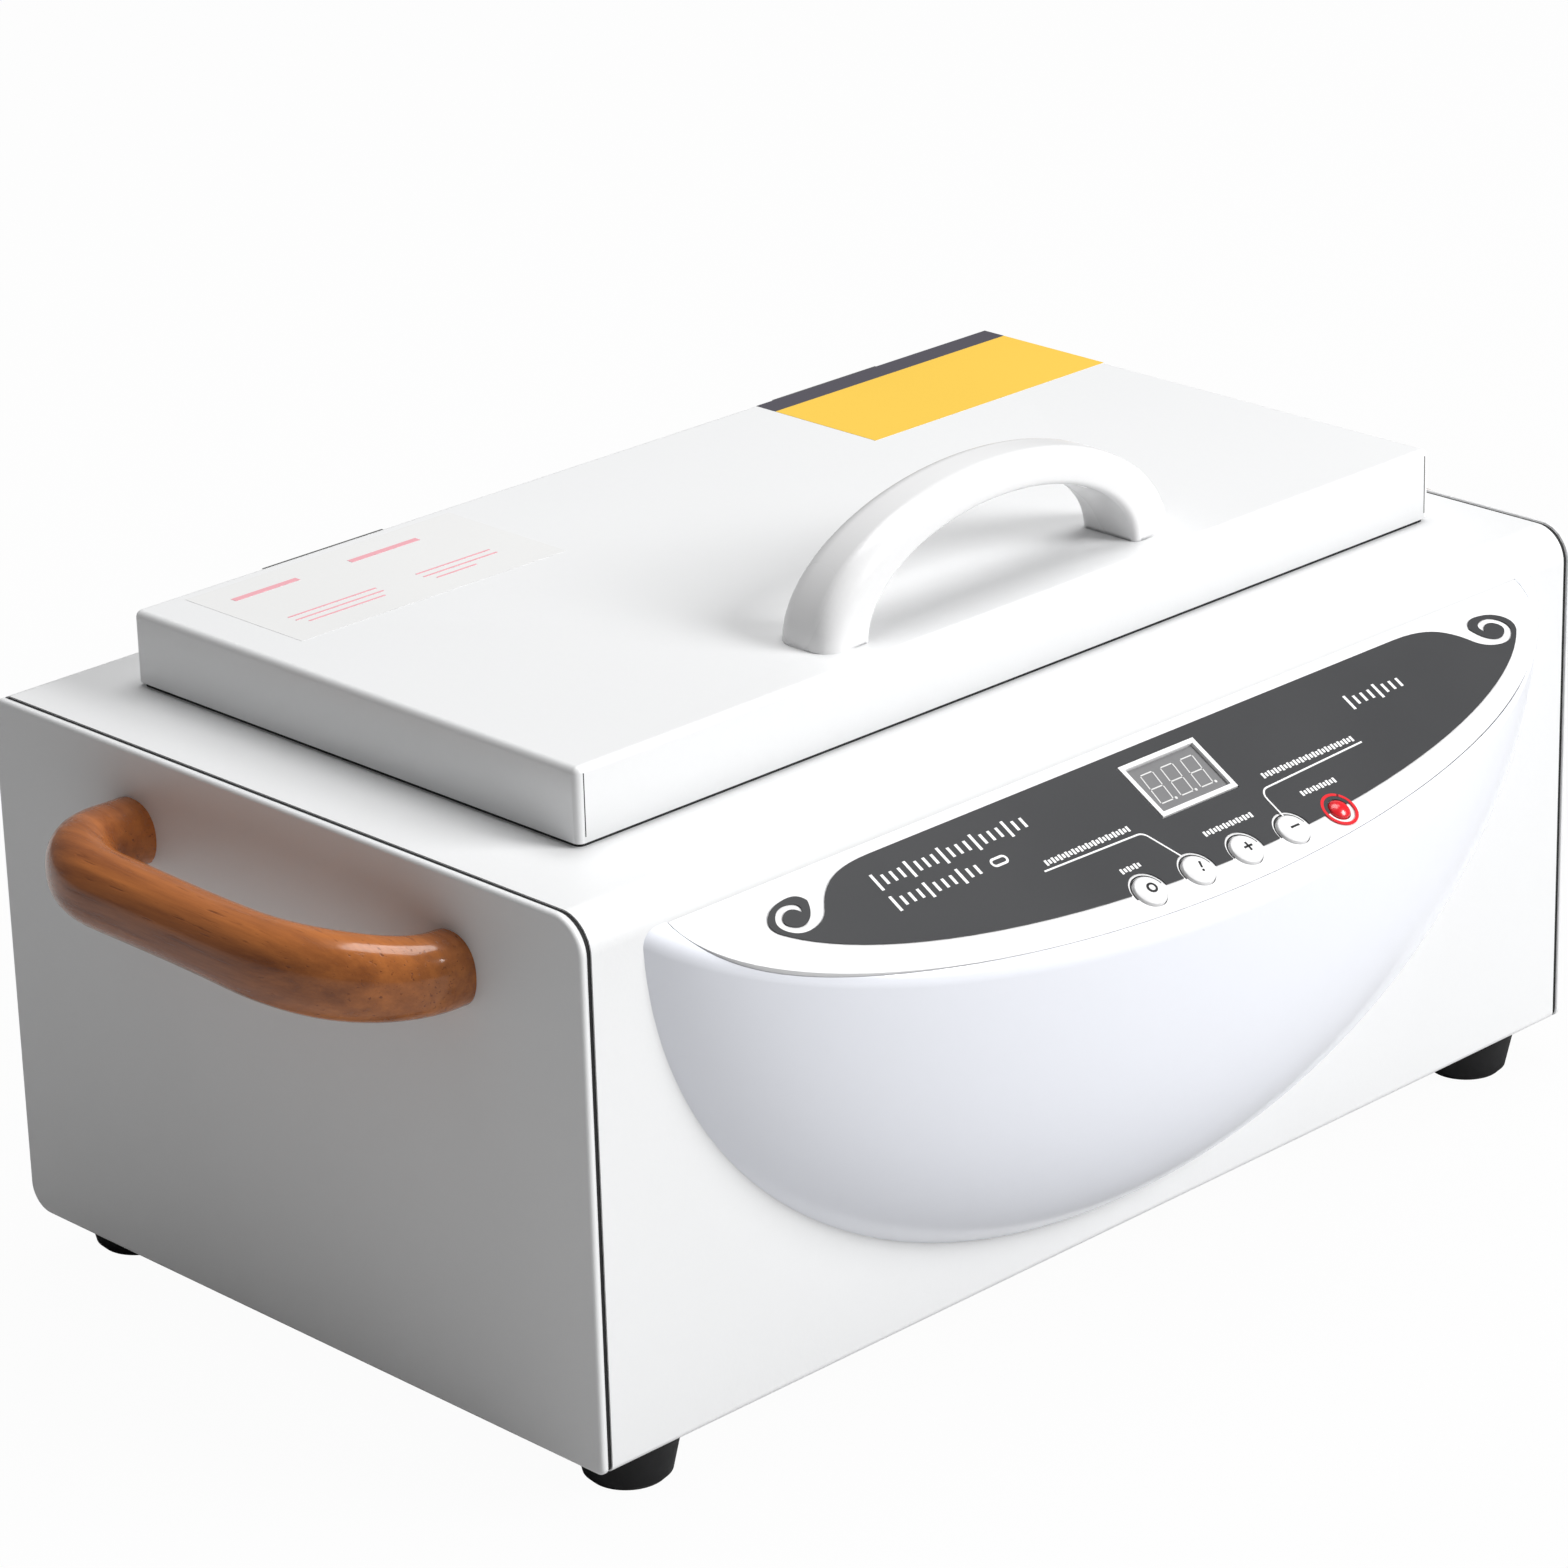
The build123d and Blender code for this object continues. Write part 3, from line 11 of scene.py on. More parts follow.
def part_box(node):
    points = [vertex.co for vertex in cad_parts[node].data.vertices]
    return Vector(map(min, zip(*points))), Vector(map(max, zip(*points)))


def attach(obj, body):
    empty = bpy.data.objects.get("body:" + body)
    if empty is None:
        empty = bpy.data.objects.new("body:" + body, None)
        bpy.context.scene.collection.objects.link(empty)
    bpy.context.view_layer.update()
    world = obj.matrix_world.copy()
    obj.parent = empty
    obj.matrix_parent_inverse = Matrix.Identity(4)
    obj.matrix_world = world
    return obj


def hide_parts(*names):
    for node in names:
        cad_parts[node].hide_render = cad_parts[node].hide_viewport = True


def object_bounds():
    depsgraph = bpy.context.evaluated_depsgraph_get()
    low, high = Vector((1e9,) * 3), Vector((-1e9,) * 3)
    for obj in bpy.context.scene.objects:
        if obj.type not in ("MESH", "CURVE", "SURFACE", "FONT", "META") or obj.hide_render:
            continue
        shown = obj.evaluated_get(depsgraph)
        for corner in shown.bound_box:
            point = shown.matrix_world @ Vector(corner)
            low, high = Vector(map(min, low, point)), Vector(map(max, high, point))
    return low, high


bl_info = {
    "name": "Dry heat sterilizer looks",
    "version": (1, 0, 0),
    "blender": (4, 5, 0),
    "location": "View3D > Sidebar > Sterilizer",
    "description": "Coats, prints, wood and studio light for a bench-top dry heat sterilizer",
    "category": "Object",
}

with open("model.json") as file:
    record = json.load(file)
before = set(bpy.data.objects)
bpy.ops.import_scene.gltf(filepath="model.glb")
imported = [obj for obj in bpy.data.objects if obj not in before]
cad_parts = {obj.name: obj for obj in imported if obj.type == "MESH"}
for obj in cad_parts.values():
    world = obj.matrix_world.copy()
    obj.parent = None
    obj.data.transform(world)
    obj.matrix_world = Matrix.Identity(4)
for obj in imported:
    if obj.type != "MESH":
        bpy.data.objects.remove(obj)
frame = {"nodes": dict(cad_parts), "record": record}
CAD_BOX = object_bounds()

MM = 0.001
CASE_LOW, CASE_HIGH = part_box("case_wrap")
LID_LOW, LID_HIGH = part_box("lid_cover")
PANEL_RISE = 139 * MM
PANEL_TURN = Matrix.Rotation(math.radians(30.5), 3, "X")
PANEL_AT = Vector((0, CASE_LOW.y, CASE_LOW.z + PANEL_RISE))
FILM_TOP = 0.4 * MM
PRINT_T = 0.05 * MM
MERGE = 0.002 * MM
END_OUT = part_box("right_end_panel")[1].x - CASE_HIGH.x
KEY_DOME = 1.3 * MM


# Property groups: what a user would change


class SterilizerCoat(bpy.types.PropertyGroup):
    """Paint and plastics of the case."""

    paint: bpy.props.FloatVectorProperty(
        name="Paint",
        description="Powder coat on the case and the lid",
        subtype="COLOR",
        size=3,
        min=0,
        max=1,
        default=(0.84, 0.845, 0.85),
    )
    pod: bpy.props.FloatVectorProperty(
        name="Housing",
        description="Moulded plastic of the control housing",
        subtype="COLOR",
        size=3,
        min=0,
        max=1,
        default=(0.9, 0.92, 0.985),
    )
    plate: bpy.props.FloatVectorProperty(
        name="White plastic",
        description="Top plate, keys, window frame and lid handle",
        subtype="COLOR",
        size=3,
        min=0,
        max=1,
        default=(0.86, 0.86, 0.865),
    )
    peel: bpy.props.FloatProperty(
        name="Coat texture",
        description="Height of the powder coat's fine texture",
        subtype="DISTANCE",
        unit="LENGTH",
        min=0,
        default=0.02 * MM,
    )


class SterilizerPanel(bpy.types.PropertyGroup):
    """Printed film, window and marks on the sloping panel."""

    film: bpy.props.FloatVectorProperty(
        name="Film",
        description="Dark film on the key panel",
        subtype="COLOR",
        size=3,
        min=0,
        max=1,
        default=(0.042, 0.043, 0.046),
    )
    red: bpy.props.FloatVectorProperty(
        name="Red",
        description="Power key and its ring",
        subtype="COLOR",
        size=3,
        min=0,
        max=1,
        default=(0.78, 0.012, 0.022),
    )
    window: bpy.props.FloatVectorProperty(
        name="Window",
        description="Face of the display",
        subtype="COLOR",
        size=3,
        min=0,
        max=1,
        default=(0.23, 0.23, 0.235),
    )
    line: bpy.props.FloatProperty(
        name="Line width",
        description="Width of the printed leader lines",
        subtype="DISTANCE",
        unit="LENGTH",
        min=0.1 * MM,
        default=0.5 * MM,
    )


class SterilizerWood(bpy.types.PropertyGroup):
    """Lacquered wood of the grips."""

    light: bpy.props.FloatVectorProperty(
        name="Light grain",
        description="Colour of the pale wood between the grain lines",
        subtype="COLOR",
        size=3,
        min=0,
        max=1,
        default=(0.56, 0.185, 0.046),
    )
    dark: bpy.props.FloatVectorProperty(
        name="Dark grain",
        description="Colour of the grain lines",
        subtype="COLOR",
        size=3,
        min=0,
        max=1,
        default=(0.15, 0.037, 0.011),
    )


class SterilizerStudio(bpy.types.PropertyGroup):
    """Light and camera."""

    key: bpy.props.FloatProperty(
        name="Key light",
        description="Power of the large lamp at the front right",
        subtype="POWER",
        unit="POWER",
        min=0,
        default=156,
    )
    ambient: bpy.props.FloatProperty(
        name="Ambient",
        description="Strength of the even light from all round",
        min=0,
        default=0.16,
    )
    lens: bpy.props.FloatProperty(
        name="Lens",
        description="Focal length of the camera",
        subtype="DISTANCE_CAMERA",
        unit="CAMERA",
        min=10,
        default=134.1,
    )


# Node trees


class Tree:
    """A node tree that is being filled."""

    def __init__(self, tree):
        self.tree = tree

    def add(self, kind, inputs=None, **settings):
        """Adds a node, sets its settings, and gives its inputs plain values or joins them to sockets."""
        node = self.tree.nodes.new(kind)
        for name, value in settings.items():
            setattr(node, name, value)
        for name, value in (inputs or {}).items():
            if isinstance(value, bpy.types.NodeSocket):
                self.tree.links.new(value, node.inputs[name])
            else:
                node.inputs[name].default_value = value
        return node

    def noise(self, vector, scale, detail=3.0, roughness=0.5):
        """A noise value between 0 and 1."""
        inputs = {"Vector": vector, "Scale": scale, "Detail": detail, "Roughness": roughness}
        return self.add("ShaderNodeTexNoise", inputs).outputs["Fac"]

    def span(self, value, low, high, start=0.3, end=0.7):
        """Maps a value from start..end to low..high."""
        inputs = {"Value": value, "From Min": start, "From Max": end, "To Min": low, "To Max": high}
        return self.add("ShaderNodeMapRange", inputs).outputs["Result"]

    def mix(self, share, first, second):
        """A colour between two others."""
        node = self.add("ShaderNodeMix", data_type="RGBA")
        for socket, value in ((node.inputs[0], share), (node.inputs[6], first), (node.inputs[7], second)):
            if isinstance(value, bpy.types.NodeSocket):
                self.tree.links.new(value, socket)
            else:
                socket.default_value = value
        return node.outputs[2]

    def maths(self, operation, first, second=0.0):
        """One sum on two values."""
        node = self.add("ShaderNodeMath", operation=operation)
        for socket, value in zip(node.inputs, (first, second)):
            if isinstance(value, bpy.types.NodeSocket):
                self.tree.links.new(value, socket)
            else:
                socket.default_value = value
        return node.outputs[0]


def shared_group(name, inputs, outputs, fill):
    """A node group that is built once, with named sockets, by a function that returns its outputs by name."""
    if name in bpy.data.node_groups:
        return bpy.data.node_groups[name]
    group = bpy.data.node_groups.new(name, "ShaderNodeTree")
    for label, kind, default in inputs:
        socket = group.interface.new_socket(name=label, in_out="INPUT", socket_type=kind)
        if default is not None:
            socket.default_value = default
    for label, kind in outputs:
        group.interface.new_socket(name=label, in_out="OUTPUT", socket_type=kind)
    tree = Tree(group)
    given = tree.add("NodeGroupInput")
    made = fill(tree, given.outputs)
    tree.add("NodeGroupOutput", made)
    return group


VALUES = (("Color", "NodeSocketColor"), ("Roughness", "NodeSocketFloat"), ("Height", "NodeSocketFloat"))


def skin_group():
    """Fine skin: faint patches of tone, uneven gloss and a fine raised texture."""

    def fill(tree, given):
        patches = tree.noise(given["Vector"], given["Patch Scale"], 2.0)
        grain = tree.noise(given["Vector"], given["Grain Scale"], 2.0)
        fine = tree.maths("MULTIPLY", given["Grain Scale"], 2.6)
        pores = tree.noise(given["Vector"], fine, 1.0)
        share = tree.maths("MULTIPLY", tree.maths("ADD", patches, grain), 0.5)
        return {
            "Color": tree.mix(share, given["Tone"], given["Shade"]),
            "Roughness": tree.span(patches, given["Gloss Low"], given["Gloss High"]),
            "Height": tree.maths("ADD", grain, tree.maths("MULTIPLY", pores, 0.4)),
        }

    inputs = (
        ("Vector", "NodeSocketVector", None),
        ("Tone", "NodeSocketColor", (0.8, 0.8, 0.8, 1)),
        ("Shade", "NodeSocketColor", (0.75, 0.75, 0.75, 1)),
        ("Patch Scale", "NodeSocketFloat", 9.0),
        ("Grain Scale", "NodeSocketFloat", 700.0),
        ("Gloss Low", "NodeSocketFloat", 0.35),
        ("Gloss High", "NodeSocketFloat", 0.45),
    )
    return shared_group("Fine skin", inputs, VALUES, fill)


def brushed_group():
    """Brushed lines: long fine scratches along the vector's stretched direction."""

    def fill(tree, given):
        lines = tree.noise(given["Vector"], given["Line Scale"], 4.0, 0.7)
        patches = tree.noise(given["Vector"], 3.0, 2.0)
        share = tree.maths("MULTIPLY", tree.maths("ADD", lines, patches), 0.5)
        return {
            "Color": tree.mix(share, given["Tone"], given["Shade"]),
            "Roughness": tree.span(lines, given["Gloss Low"], given["Gloss High"]),
            "Height": lines,
        }

    inputs = (
        ("Vector", "NodeSocketVector", None),
        ("Tone", "NodeSocketColor", (0.7, 0.7, 0.7, 1)),
        ("Shade", "NodeSocketColor", (0.55, 0.55, 0.55, 1)),
        ("Line Scale", "NodeSocketFloat", 60.0),
        ("Gloss Low", "NodeSocketFloat", 0.22),
        ("Gloss High", "NodeSocketFloat", 0.4),
    )
    return shared_group("Brushed lines", inputs, VALUES, fill)


def grain_group():
    """Wood grain: fine lengthwise streaks over slow bands of tone, with short dark pores."""

    def fill(tree, given):
        drift = tree.noise(given["Vector"], 14.0, 2.0)
        bands = tree.noise(given["Vector"], given["Band Scale"], 3.0, 0.55)
        streaks = tree.noise(given["Vector"], given["Streak Scale"], 5.0, 0.68)
        pores = tree.noise(given["Vector"], given["Pore Scale"], 2.0, 0.7)
        pore = tree.span(pores, 0.0, 1.0, 0.6, 0.72)
        share = tree.maths("ADD", tree.maths("MULTIPLY", bands, 0.5), tree.maths("MULTIPLY", streaks, 0.35))
        share = tree.maths("ADD", share, tree.maths("MULTIPLY", drift, 0.15))
        lines = tree.span(share, 0.0, 1.0, 0.4, 0.66)
        share = tree.maths("MAXIMUM", lines, tree.maths("MULTIPLY", pore, 0.8))
        return {
            "Color": tree.mix(share, given["Light"], given["Dark"]),
            "Roughness": tree.span(streaks, 0.16, 0.3),
            "Height": tree.maths("SUBTRACT", drift, tree.maths("MULTIPLY", pore, 0.35)),
        }

    inputs = (
        ("Vector", "NodeSocketVector", None),
        ("Light", "NodeSocketColor", (0.5, 0.2, 0.06, 1)),
        ("Dark", "NodeSocketColor", (0.2, 0.06, 0.02, 1)),
        ("Band Scale", "NodeSocketFloat", 60.0),
        ("Streak Scale", "NodeSocketFloat", 300.0),
        ("Pore Scale", "NodeSocketFloat", 1100.0),
    )
    return shared_group("Wood grain", inputs, VALUES, fill)


def start_material(name, stretch=(1, 1, 1), **plain):
    """A new material, its tree, its Principled shader with plain values, and its stretched object vector."""
    material = bpy.data.materials.new(name)
    material.use_nodes = True
    tree = Tree(material.node_tree)
    material.node_tree.nodes.clear()
    shader = tree.add("ShaderNodeBsdfPrincipled")
    for label, value in plain.items():
        shader.inputs[label.replace("_", " ")].default_value = value
    tree.add("ShaderNodeOutputMaterial", {"Surface": shader.outputs[0]})
    place = tree.add("ShaderNodeTexCoord").outputs["Object"]
    vector = tree.add("ShaderNodeMapping", {"Vector": place, "Scale": stretch}).outputs[0]
    return material, tree, shader, vector


def join_group(tree, shader, group, values, height):
    """Places a shared group in a material and joins its colour, roughness and height to the shader."""
    node = tree.add("ShaderNodeGroup", node_tree=group)
    for label, value in values.items():
        if isinstance(value, bpy.types.NodeSocket):
            tree.tree.links.new(value, node.inputs[label])
        else:
            node.inputs[label].default_value = value
    tree.tree.links.new(node.outputs["Color"], shader.inputs["Base Color"])
    tree.tree.links.new(node.outputs["Roughness"], shader.inputs["Roughness"])
    if height:
        inputs = {"Height": node.outputs["Height"], "Distance": height, "Strength": 1.0}
        bump = tree.add("ShaderNodeBump", inputs)
        tree.tree.links.new(bump.outputs[0], shader.inputs["Normal"])


def darker(colour, share):
    """The same colour, darker, with its alpha."""
    return tuple(channel * share for channel in colour[:3]) + (1,)


def skin(name, tone, gloss=(0.35, 0.45), grain=700.0, height=0.01 * MM, contrast=0.94, patch=9.0, **plain):
    """A painted, moulded or printed surface with a fine skin."""
    material, tree, shader, vector = start_material(name, **plain)
    values = {
        "Vector": vector,
        "Tone": tuple(tone) + (1,),
        "Shade": darker(tone, contrast),
        "Patch Scale": patch,
        "Grain Scale": grain,
        "Gloss Low": gloss[0],
        "Gloss High": gloss[1],
    }
    join_group(tree, shader, skin_group(), values, height)
    return material


def brushed(name, tone, stretch, gloss=(0.22, 0.4), height=0.004 * MM, scale=60.0, contrast=0.78):
    """A bare metal with brushed lines along the axis that is stretched least."""
    material, tree, shader, vector = start_material(name, stretch, Metallic=1.0)
    values = {
        "Vector": vector,
        "Tone": tuple(tone) + (1,),
        "Shade": darker(tone, contrast),
        "Line Scale": scale,
        "Gloss Low": gloss[0],
        "Gloss High": gloss[1],
    }
    join_group(tree, shader, brushed_group(), values, height)
    return material


def lacquered_wood(name, light, dark):
    """Bent wood under a thick clear lacquer, with the grain along the grip."""
    plain = {"Coat_Weight": 0.6, "Coat_Roughness": 0.08, "Coat_IOR": 1.45, "Specular_IOR_Level": 0.3}
    material, tree, shader, vector = start_material(name, (1.0, 0.06, 1.0), **plain)
    values = {"Vector": vector, "Light": tuple(light) + (1,), "Dark": tuple(dark) + (1,)}
    join_group(tree, shader, grain_group(), values, 0.15 * MM)
    return material


def make_materials(scene):
    """Every finish of the sterilizer, by a short name for its use."""
    coat, panel, wood = scene.sterilizer_coat, scene.sterilizer_panel, scene.sterilizer_wood
    return {
        "white_coat": skin("White powder coat", coat.paint, (0.36, 0.46), 620.0, coat.peel, 0.975, 5.0),
        "pod_plastic": skin(
            "Glossy housing plastic",
            coat.pod,
            (0.2, 0.27),
            300.0,
            0.004 * MM,
            0.985,
            4.0,
            Coat_Weight=0.4,
            Coat_Roughness=0.12,
        ),
        "panel_white": skin("White plastic", coat.plate, (0.28, 0.36), 500.0, 0.004 * MM, 0.985, 12.0),
        "handle_white": skin(
            "White handle plastic", coat.plate, (0.22, 0.3), 400.0, 0.004 * MM, 0.98, 14.0
        ),
        "overlay_film": skin("Dark panel film", panel.film, (0.42, 0.55), 1500.0, 0.006 * MM, 0.82, 20.0),
        "print_white": skin("White ink", (0.9, 0.9, 0.9), (0.45, 0.55), 1800.0, 0.002 * MM, 0.95, 60.0),
        "print_red": skin("Red ink", panel.red, (0.4, 0.5), 1800.0, 0.002 * MM, 0.9, 60.0),
        "print_black": skin(
            "Black ink", (0.015, 0.015, 0.016), (0.45, 0.55), 1800.0, 0.002 * MM, 0.8, 60.0
        ),
        "display_face": skin("Display window", panel.window, (0.12, 0.18), 900.0, 0.001 * MM, 0.86, 40.0),
        "segment": skin("Unlit segment", (0.74, 0.74, 0.73), (0.25, 0.35), 1500.0, 0.002 * MM, 0.95, 60.0),
        "power_red": skin(
            "Red key plastic", panel.red, (0.18, 0.26), 800.0, 0.003 * MM, 0.93, 50.0, Coat_Weight=0.4
        ),
        "black_rubber": skin(
            "Black rubber",
            (0.009, 0.009, 0.01),
            (0.55, 0.75),
            900.0,
            0.03 * MM,
            0.7,
            30.0,
            Specular_IOR_Level=0.35,
        ),
        "silicone": skin("Red silicone", (0.46, 0.075, 0.045), (0.45, 0.6), 700.0, 0.02 * MM, 0.85, 25.0),
        "lacquered_wood": lacquered_wood("Lacquered wood", wood.light, wood.dark),
        "stainless": brushed("Brushed stainless", (0.66, 0.66, 0.65), (1.5, 30.0, 30.0)),
        "drawn_steel": brushed(
            "Drawn stainless", (0.7, 0.7, 0.69), (9.0, 9.0, 1.0), (0.16, 0.3), 0.002 * MM, 12.0
        ),
        "zinc_steel": brushed(
            "Zinc plated steel", (0.6, 0.61, 0.64), (9.0, 9.0, 9.0), (0.28, 0.42), 0.003 * MM, 40.0
        ),
        "heater_sheath": brushed("Heat-tinted sheath", (0.3, 0.27, 0.24), (4.0, 20.0, 20.0), (0.35, 0.55)),
        "ceramic_bush": skin("Fired ceramic", (0.78, 0.74, 0.66), (0.5, 0.65), 900.0, 0.02 * MM, 0.9, 60.0),
        "mineral_wool": skin("Mineral wool", (0.55, 0.49, 0.3), (0.85, 0.98), 260.0, 1.2 * MM, 0.6, 30.0),
        "board_green": skin(
            "Green solder mask", (0.02, 0.11, 0.045), (0.25, 0.38), 600.0, 0.02 * MM, 0.75, 45.0
        ),
        "black_plastic": skin(
            "Black moulded plastic", (0.02, 0.02, 0.022), (0.42, 0.55), 1100.0, 0.02 * MM, 0.8, 30.0
        ),
        "transformer_iron": brushed(
            "Laminated core", (0.2, 0.2, 0.21), (2.0, 2.0, 60.0), (0.5, 0.7), 0.05 * MM
        ),
        "terminal_plastic": skin(
            "Green terminal", (0.03, 0.19, 0.06), (0.4, 0.5), 900.0, 0.01 * MM, 0.85, 50.0
        ),
        "label_yellow": skin("Yellow label", (0.93, 0.6, 0.075), (0.4, 0.5), 900.0, 0.004 * MM, 0.96, 12.0),
        "label_band": skin(
            "Slate label band", (0.085, 0.08, 0.1), (0.4, 0.5), 900.0, 0.004 * MM, 0.85, 12.0
        ),
        "label_film": skin(
            "Pale label film", (0.79, 0.79, 0.785), (0.5, 0.62), 900.0, 0.004 * MM, 0.98, 12.0
        ),
        "label_pink": skin("Pink ink", (0.86, 0.42, 0.47), (0.5, 0.6), 900.0, 0.004 * MM, 0.9, 90.0),
    }


MATERIALS = {}


def finish_of(name):
    """A material by its short name; the whole set is made on first use."""
    if not MATERIALS:
        MATERIALS.update(make_materials(bpy.context.scene))
    return MATERIALS[name]


# Meshes


def add_piece(name, bm, finish, body="root", sharp=35.0, replaces=(), weighted=False):
    """Turns a bmesh into a smooth-shaded piece that rides on a body."""
    mesh = bpy.data.meshes.new(name)
    bm.to_mesh(mesh)
    bm.free()
    mesh.shade_smooth()
    mesh.set_sharp_from_angle(angle=math.radians(sharp))
    mesh.materials.append(finish_of(finish))
    piece = bpy.data.objects.new(name, mesh)
    bpy.context.scene.collection.objects.link(piece)
    if weighted:
        normals = piece.modifiers.new("Even shading", "WEIGHTED_NORMAL")
        normals.keep_sharp = True
        normals.weight = 90
    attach(piece, body)
    if replaces:
        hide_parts(*replaces)
    return piece


def body_of_node(node):
    """The body that carries a node."""
    bodies = (frame["record"].get("behaviour") or {}).get("bodies") or {"root": list(frame["nodes"])}
    return next(body for body, nodes in bodies.items() if node in nodes)


def smooth_node(node, finish, sharp=35.0, weighted=True):
    """A merged, smooth-shaded copy of a curved node, which stands for it."""
    bm = bmesh.new()
    bm.from_mesh(frame["nodes"][node].data)
    bmesh.ops.remove_doubles(bm, verts=bm.verts, dist=MERGE)
    name = f"{node}_surface"
    return add_piece(name, bm, finish, body_of_node(node), sharp, (node,), weighted)


def coat_node(node, finish):
    """Gives a node that stays as it is its finish."""
    mesh_object = frame["nodes"][node]
    if not mesh_object.material_slots:
        mesh_object.data.materials.append(None)
    for place in mesh_object.material_slots:
        place.material = finish_of(finish)


def panel_matrix(x, u, rise=FILM_TOP):
    """A place on the sloping panel: x across, u down the slope from the wall line, rise above the plate."""
    return Matrix.Translation(PANEL_AT) @ PANEL_TURN.to_4x4() @ Matrix.Translation((x, -u, rise))


def prism(bm, outline, place, height=PRINT_T):
    """A thin flat shape: an outline of local points, filled and raised by height."""
    vertices = [bm.verts.new(place @ Vector((x, y, 0))) for x, y in outline]
    base = bm.faces.new(vertices)
    raised = bmesh.ops.extrude_face_region(bm, geom=[base])
    moved = [item for item in raised["geom"] if isinstance(item, bmesh.types.BMVert)]
    lift = place.to_3x3() @ Vector((0, 0, height))
    bmesh.ops.translate(bm, verts=moved, vec=lift)


def bar(bm, place, x, y, width, depth):
    """A flat bar centred on a local point."""
    w, d = width / 2, depth / 2
    outline = [(x - w, y - d), (x + w, y - d), (x + w, y + d), (x - w, y + d)]
    prism(bm, outline, place)


def ribbon(bm, place, points, width, height=PRINT_T):
    """A flat line of even width along local points, with mitred corners."""
    left, right = [], []
    last = len(points) - 1
    closed = (Vector(points[0]) - Vector(points[last])).length < MERGE
    for i, point in enumerate(points):
        here = Vector(point)
        before = Vector(points[last - 1 if closed and i == 0 else max(i - 1, 0)])
        after = Vector(points[1 if closed and i == last else min(i + 1, last)])
        along = ((here - before).normalized() + (after - here).normalized()).normalized()
        across = Vector((-along.y, along.x))
        edge = (here - before).normalized() if i or closed else along
        share = max(0.4, abs(along.dot(edge)))
        left.append(here + across * width / 2 / share)
        right.append(here - across * width / 2 / share)
    if closed:
        for i in range(last):
            prism(bm, [tuple(p) for p in (right[i], right[i + 1], left[i + 1], left[i])], place, height)
        return
    prism(bm, [tuple(p) for p in right + left[::-1]], place, height)


def tick_row(bm, place, start, end, y, heights, pitch, width):
    """A row of short upright marks, their heights taken in turn; all sizes in millimetres."""
    for i in range(int((end - start) / pitch) + 1):
        height = heights[i % len(heights)]
        bar(bm, place, (start + i * pitch) * MM, y * MM, width * MM, height * MM)


def arc_points(x, y, radius, start, end, count):
    """Local points along an arc, angles in degrees."""
    step = math.radians(end - start) / count
    first = math.radians(start)
    angles = [first + step * i for i in range(count + 1)]
    return [(x + radius * math.cos(angle), y + radius * math.sin(angle)) for angle in angles]


def outward(bm):
    """Merges what lies together and turns every face outwards."""
    bmesh.ops.remove_doubles(bm, verts=bm.verts, dist=MERGE)
    bmesh.ops.recalc_face_normals(bm, faces=bm.faces)


# The pieces


KEY_PITCH = 18.2 * MM
KEY_MIDDLE = 7.1 * MM
KEY_ROW = 44.0 * MM


def key_centres():
    """The middle of each key on the panel, by name."""
    names = ("menu", "select", "plus", "minus", "power")
    return {name: (KEY_MIDDLE + (i - 2) * KEY_PITCH, KEY_ROW) for i, name in enumerate(names)}


class STERILIZER_OT_case(bpy.types.Operator):
    """Coats the folded case, its end panels, seals, base and feet"""

    bl_idname = "sterilizer.case"
    bl_label = "Case and feet"

    def execute(self, context):
        for node in ("case_wrap", "left_end_panel", "right_end_panel"):
            smooth_node(node, "white_coat", 40.0)
        for node in ("left_end_seal", "right_end_seal"):
            smooth_node(node, "black_rubber", 40.0)
        for corner in ("front_left", "front_right", "rear_left", "rear_right"):
            smooth_node(f"{corner}_foot", "black_rubber", 30.0)
        coat_node("base_plate", "white_coat")
        for node in ("foot_screws", "foot_nuts", "base_screws", "grip_screws", "pod_screws"):
            coat_node(node, "zinc_steel")
        return {"FINISHED"}


POD_AT = Vector((1.5 * MM, CASE_LOW.y + 20 * MM, PANEL_AT.z))
POD_HALF = (175.6 * MM, 71 * MM, 135.5 * MM)
POD_EDGE_R = 5.5 * MM


def housing_normal(point):
    """The direction out of the housing's skin: off its ellipsoid, then over the rounded rim to the panel."""
    slope = PANEL_TURN @ Vector((0, 0, 1))
    out = Vector([(point[i] - POD_AT[i]) / POD_HALF[i] ** 2 for i in range(3)]).normalized()
    up = min(1 - (PANEL_AT - point).dot(slope) / POD_EDGE_R, 1)
    if up <= out.dot(slope):
        return out
    side = (out - slope * out.dot(slope)).normalized()
    return slope * up + side * math.sqrt(max(1 - up * up, 0))


def even_housing(mesh):
    """Shades the housing's skin by its true form in place of its facets."""
    normals = []
    for face in mesh.polygons:
        skin_face = face.normal.dot(housing_normal(face.center)) > 0.9
        for corner in face.loop_indices:
            point = mesh.vertices[mesh.loops[corner].vertex_index].co
            normals.append(housing_normal(point) if skin_face else face.normal)
    mesh.normals_split_custom_set([tuple(normal) for normal in normals])


class STERILIZER_OT_housing(bpy.types.Operator):
    """Gives the moulded control housing and its top plate their plastics"""

    bl_idname = "sterilizer.housing"
    bl_label = "Control housing"

    def execute(self, context):
        housing = smooth_node("pod_housing", "pod_plastic", 180.0, weighted=False)
        even_housing(housing.data)
        coat_node("panel_plate", "panel_white")
        coat_node("panel_overlay", "overlay_film")
        return {"FINISHED"}


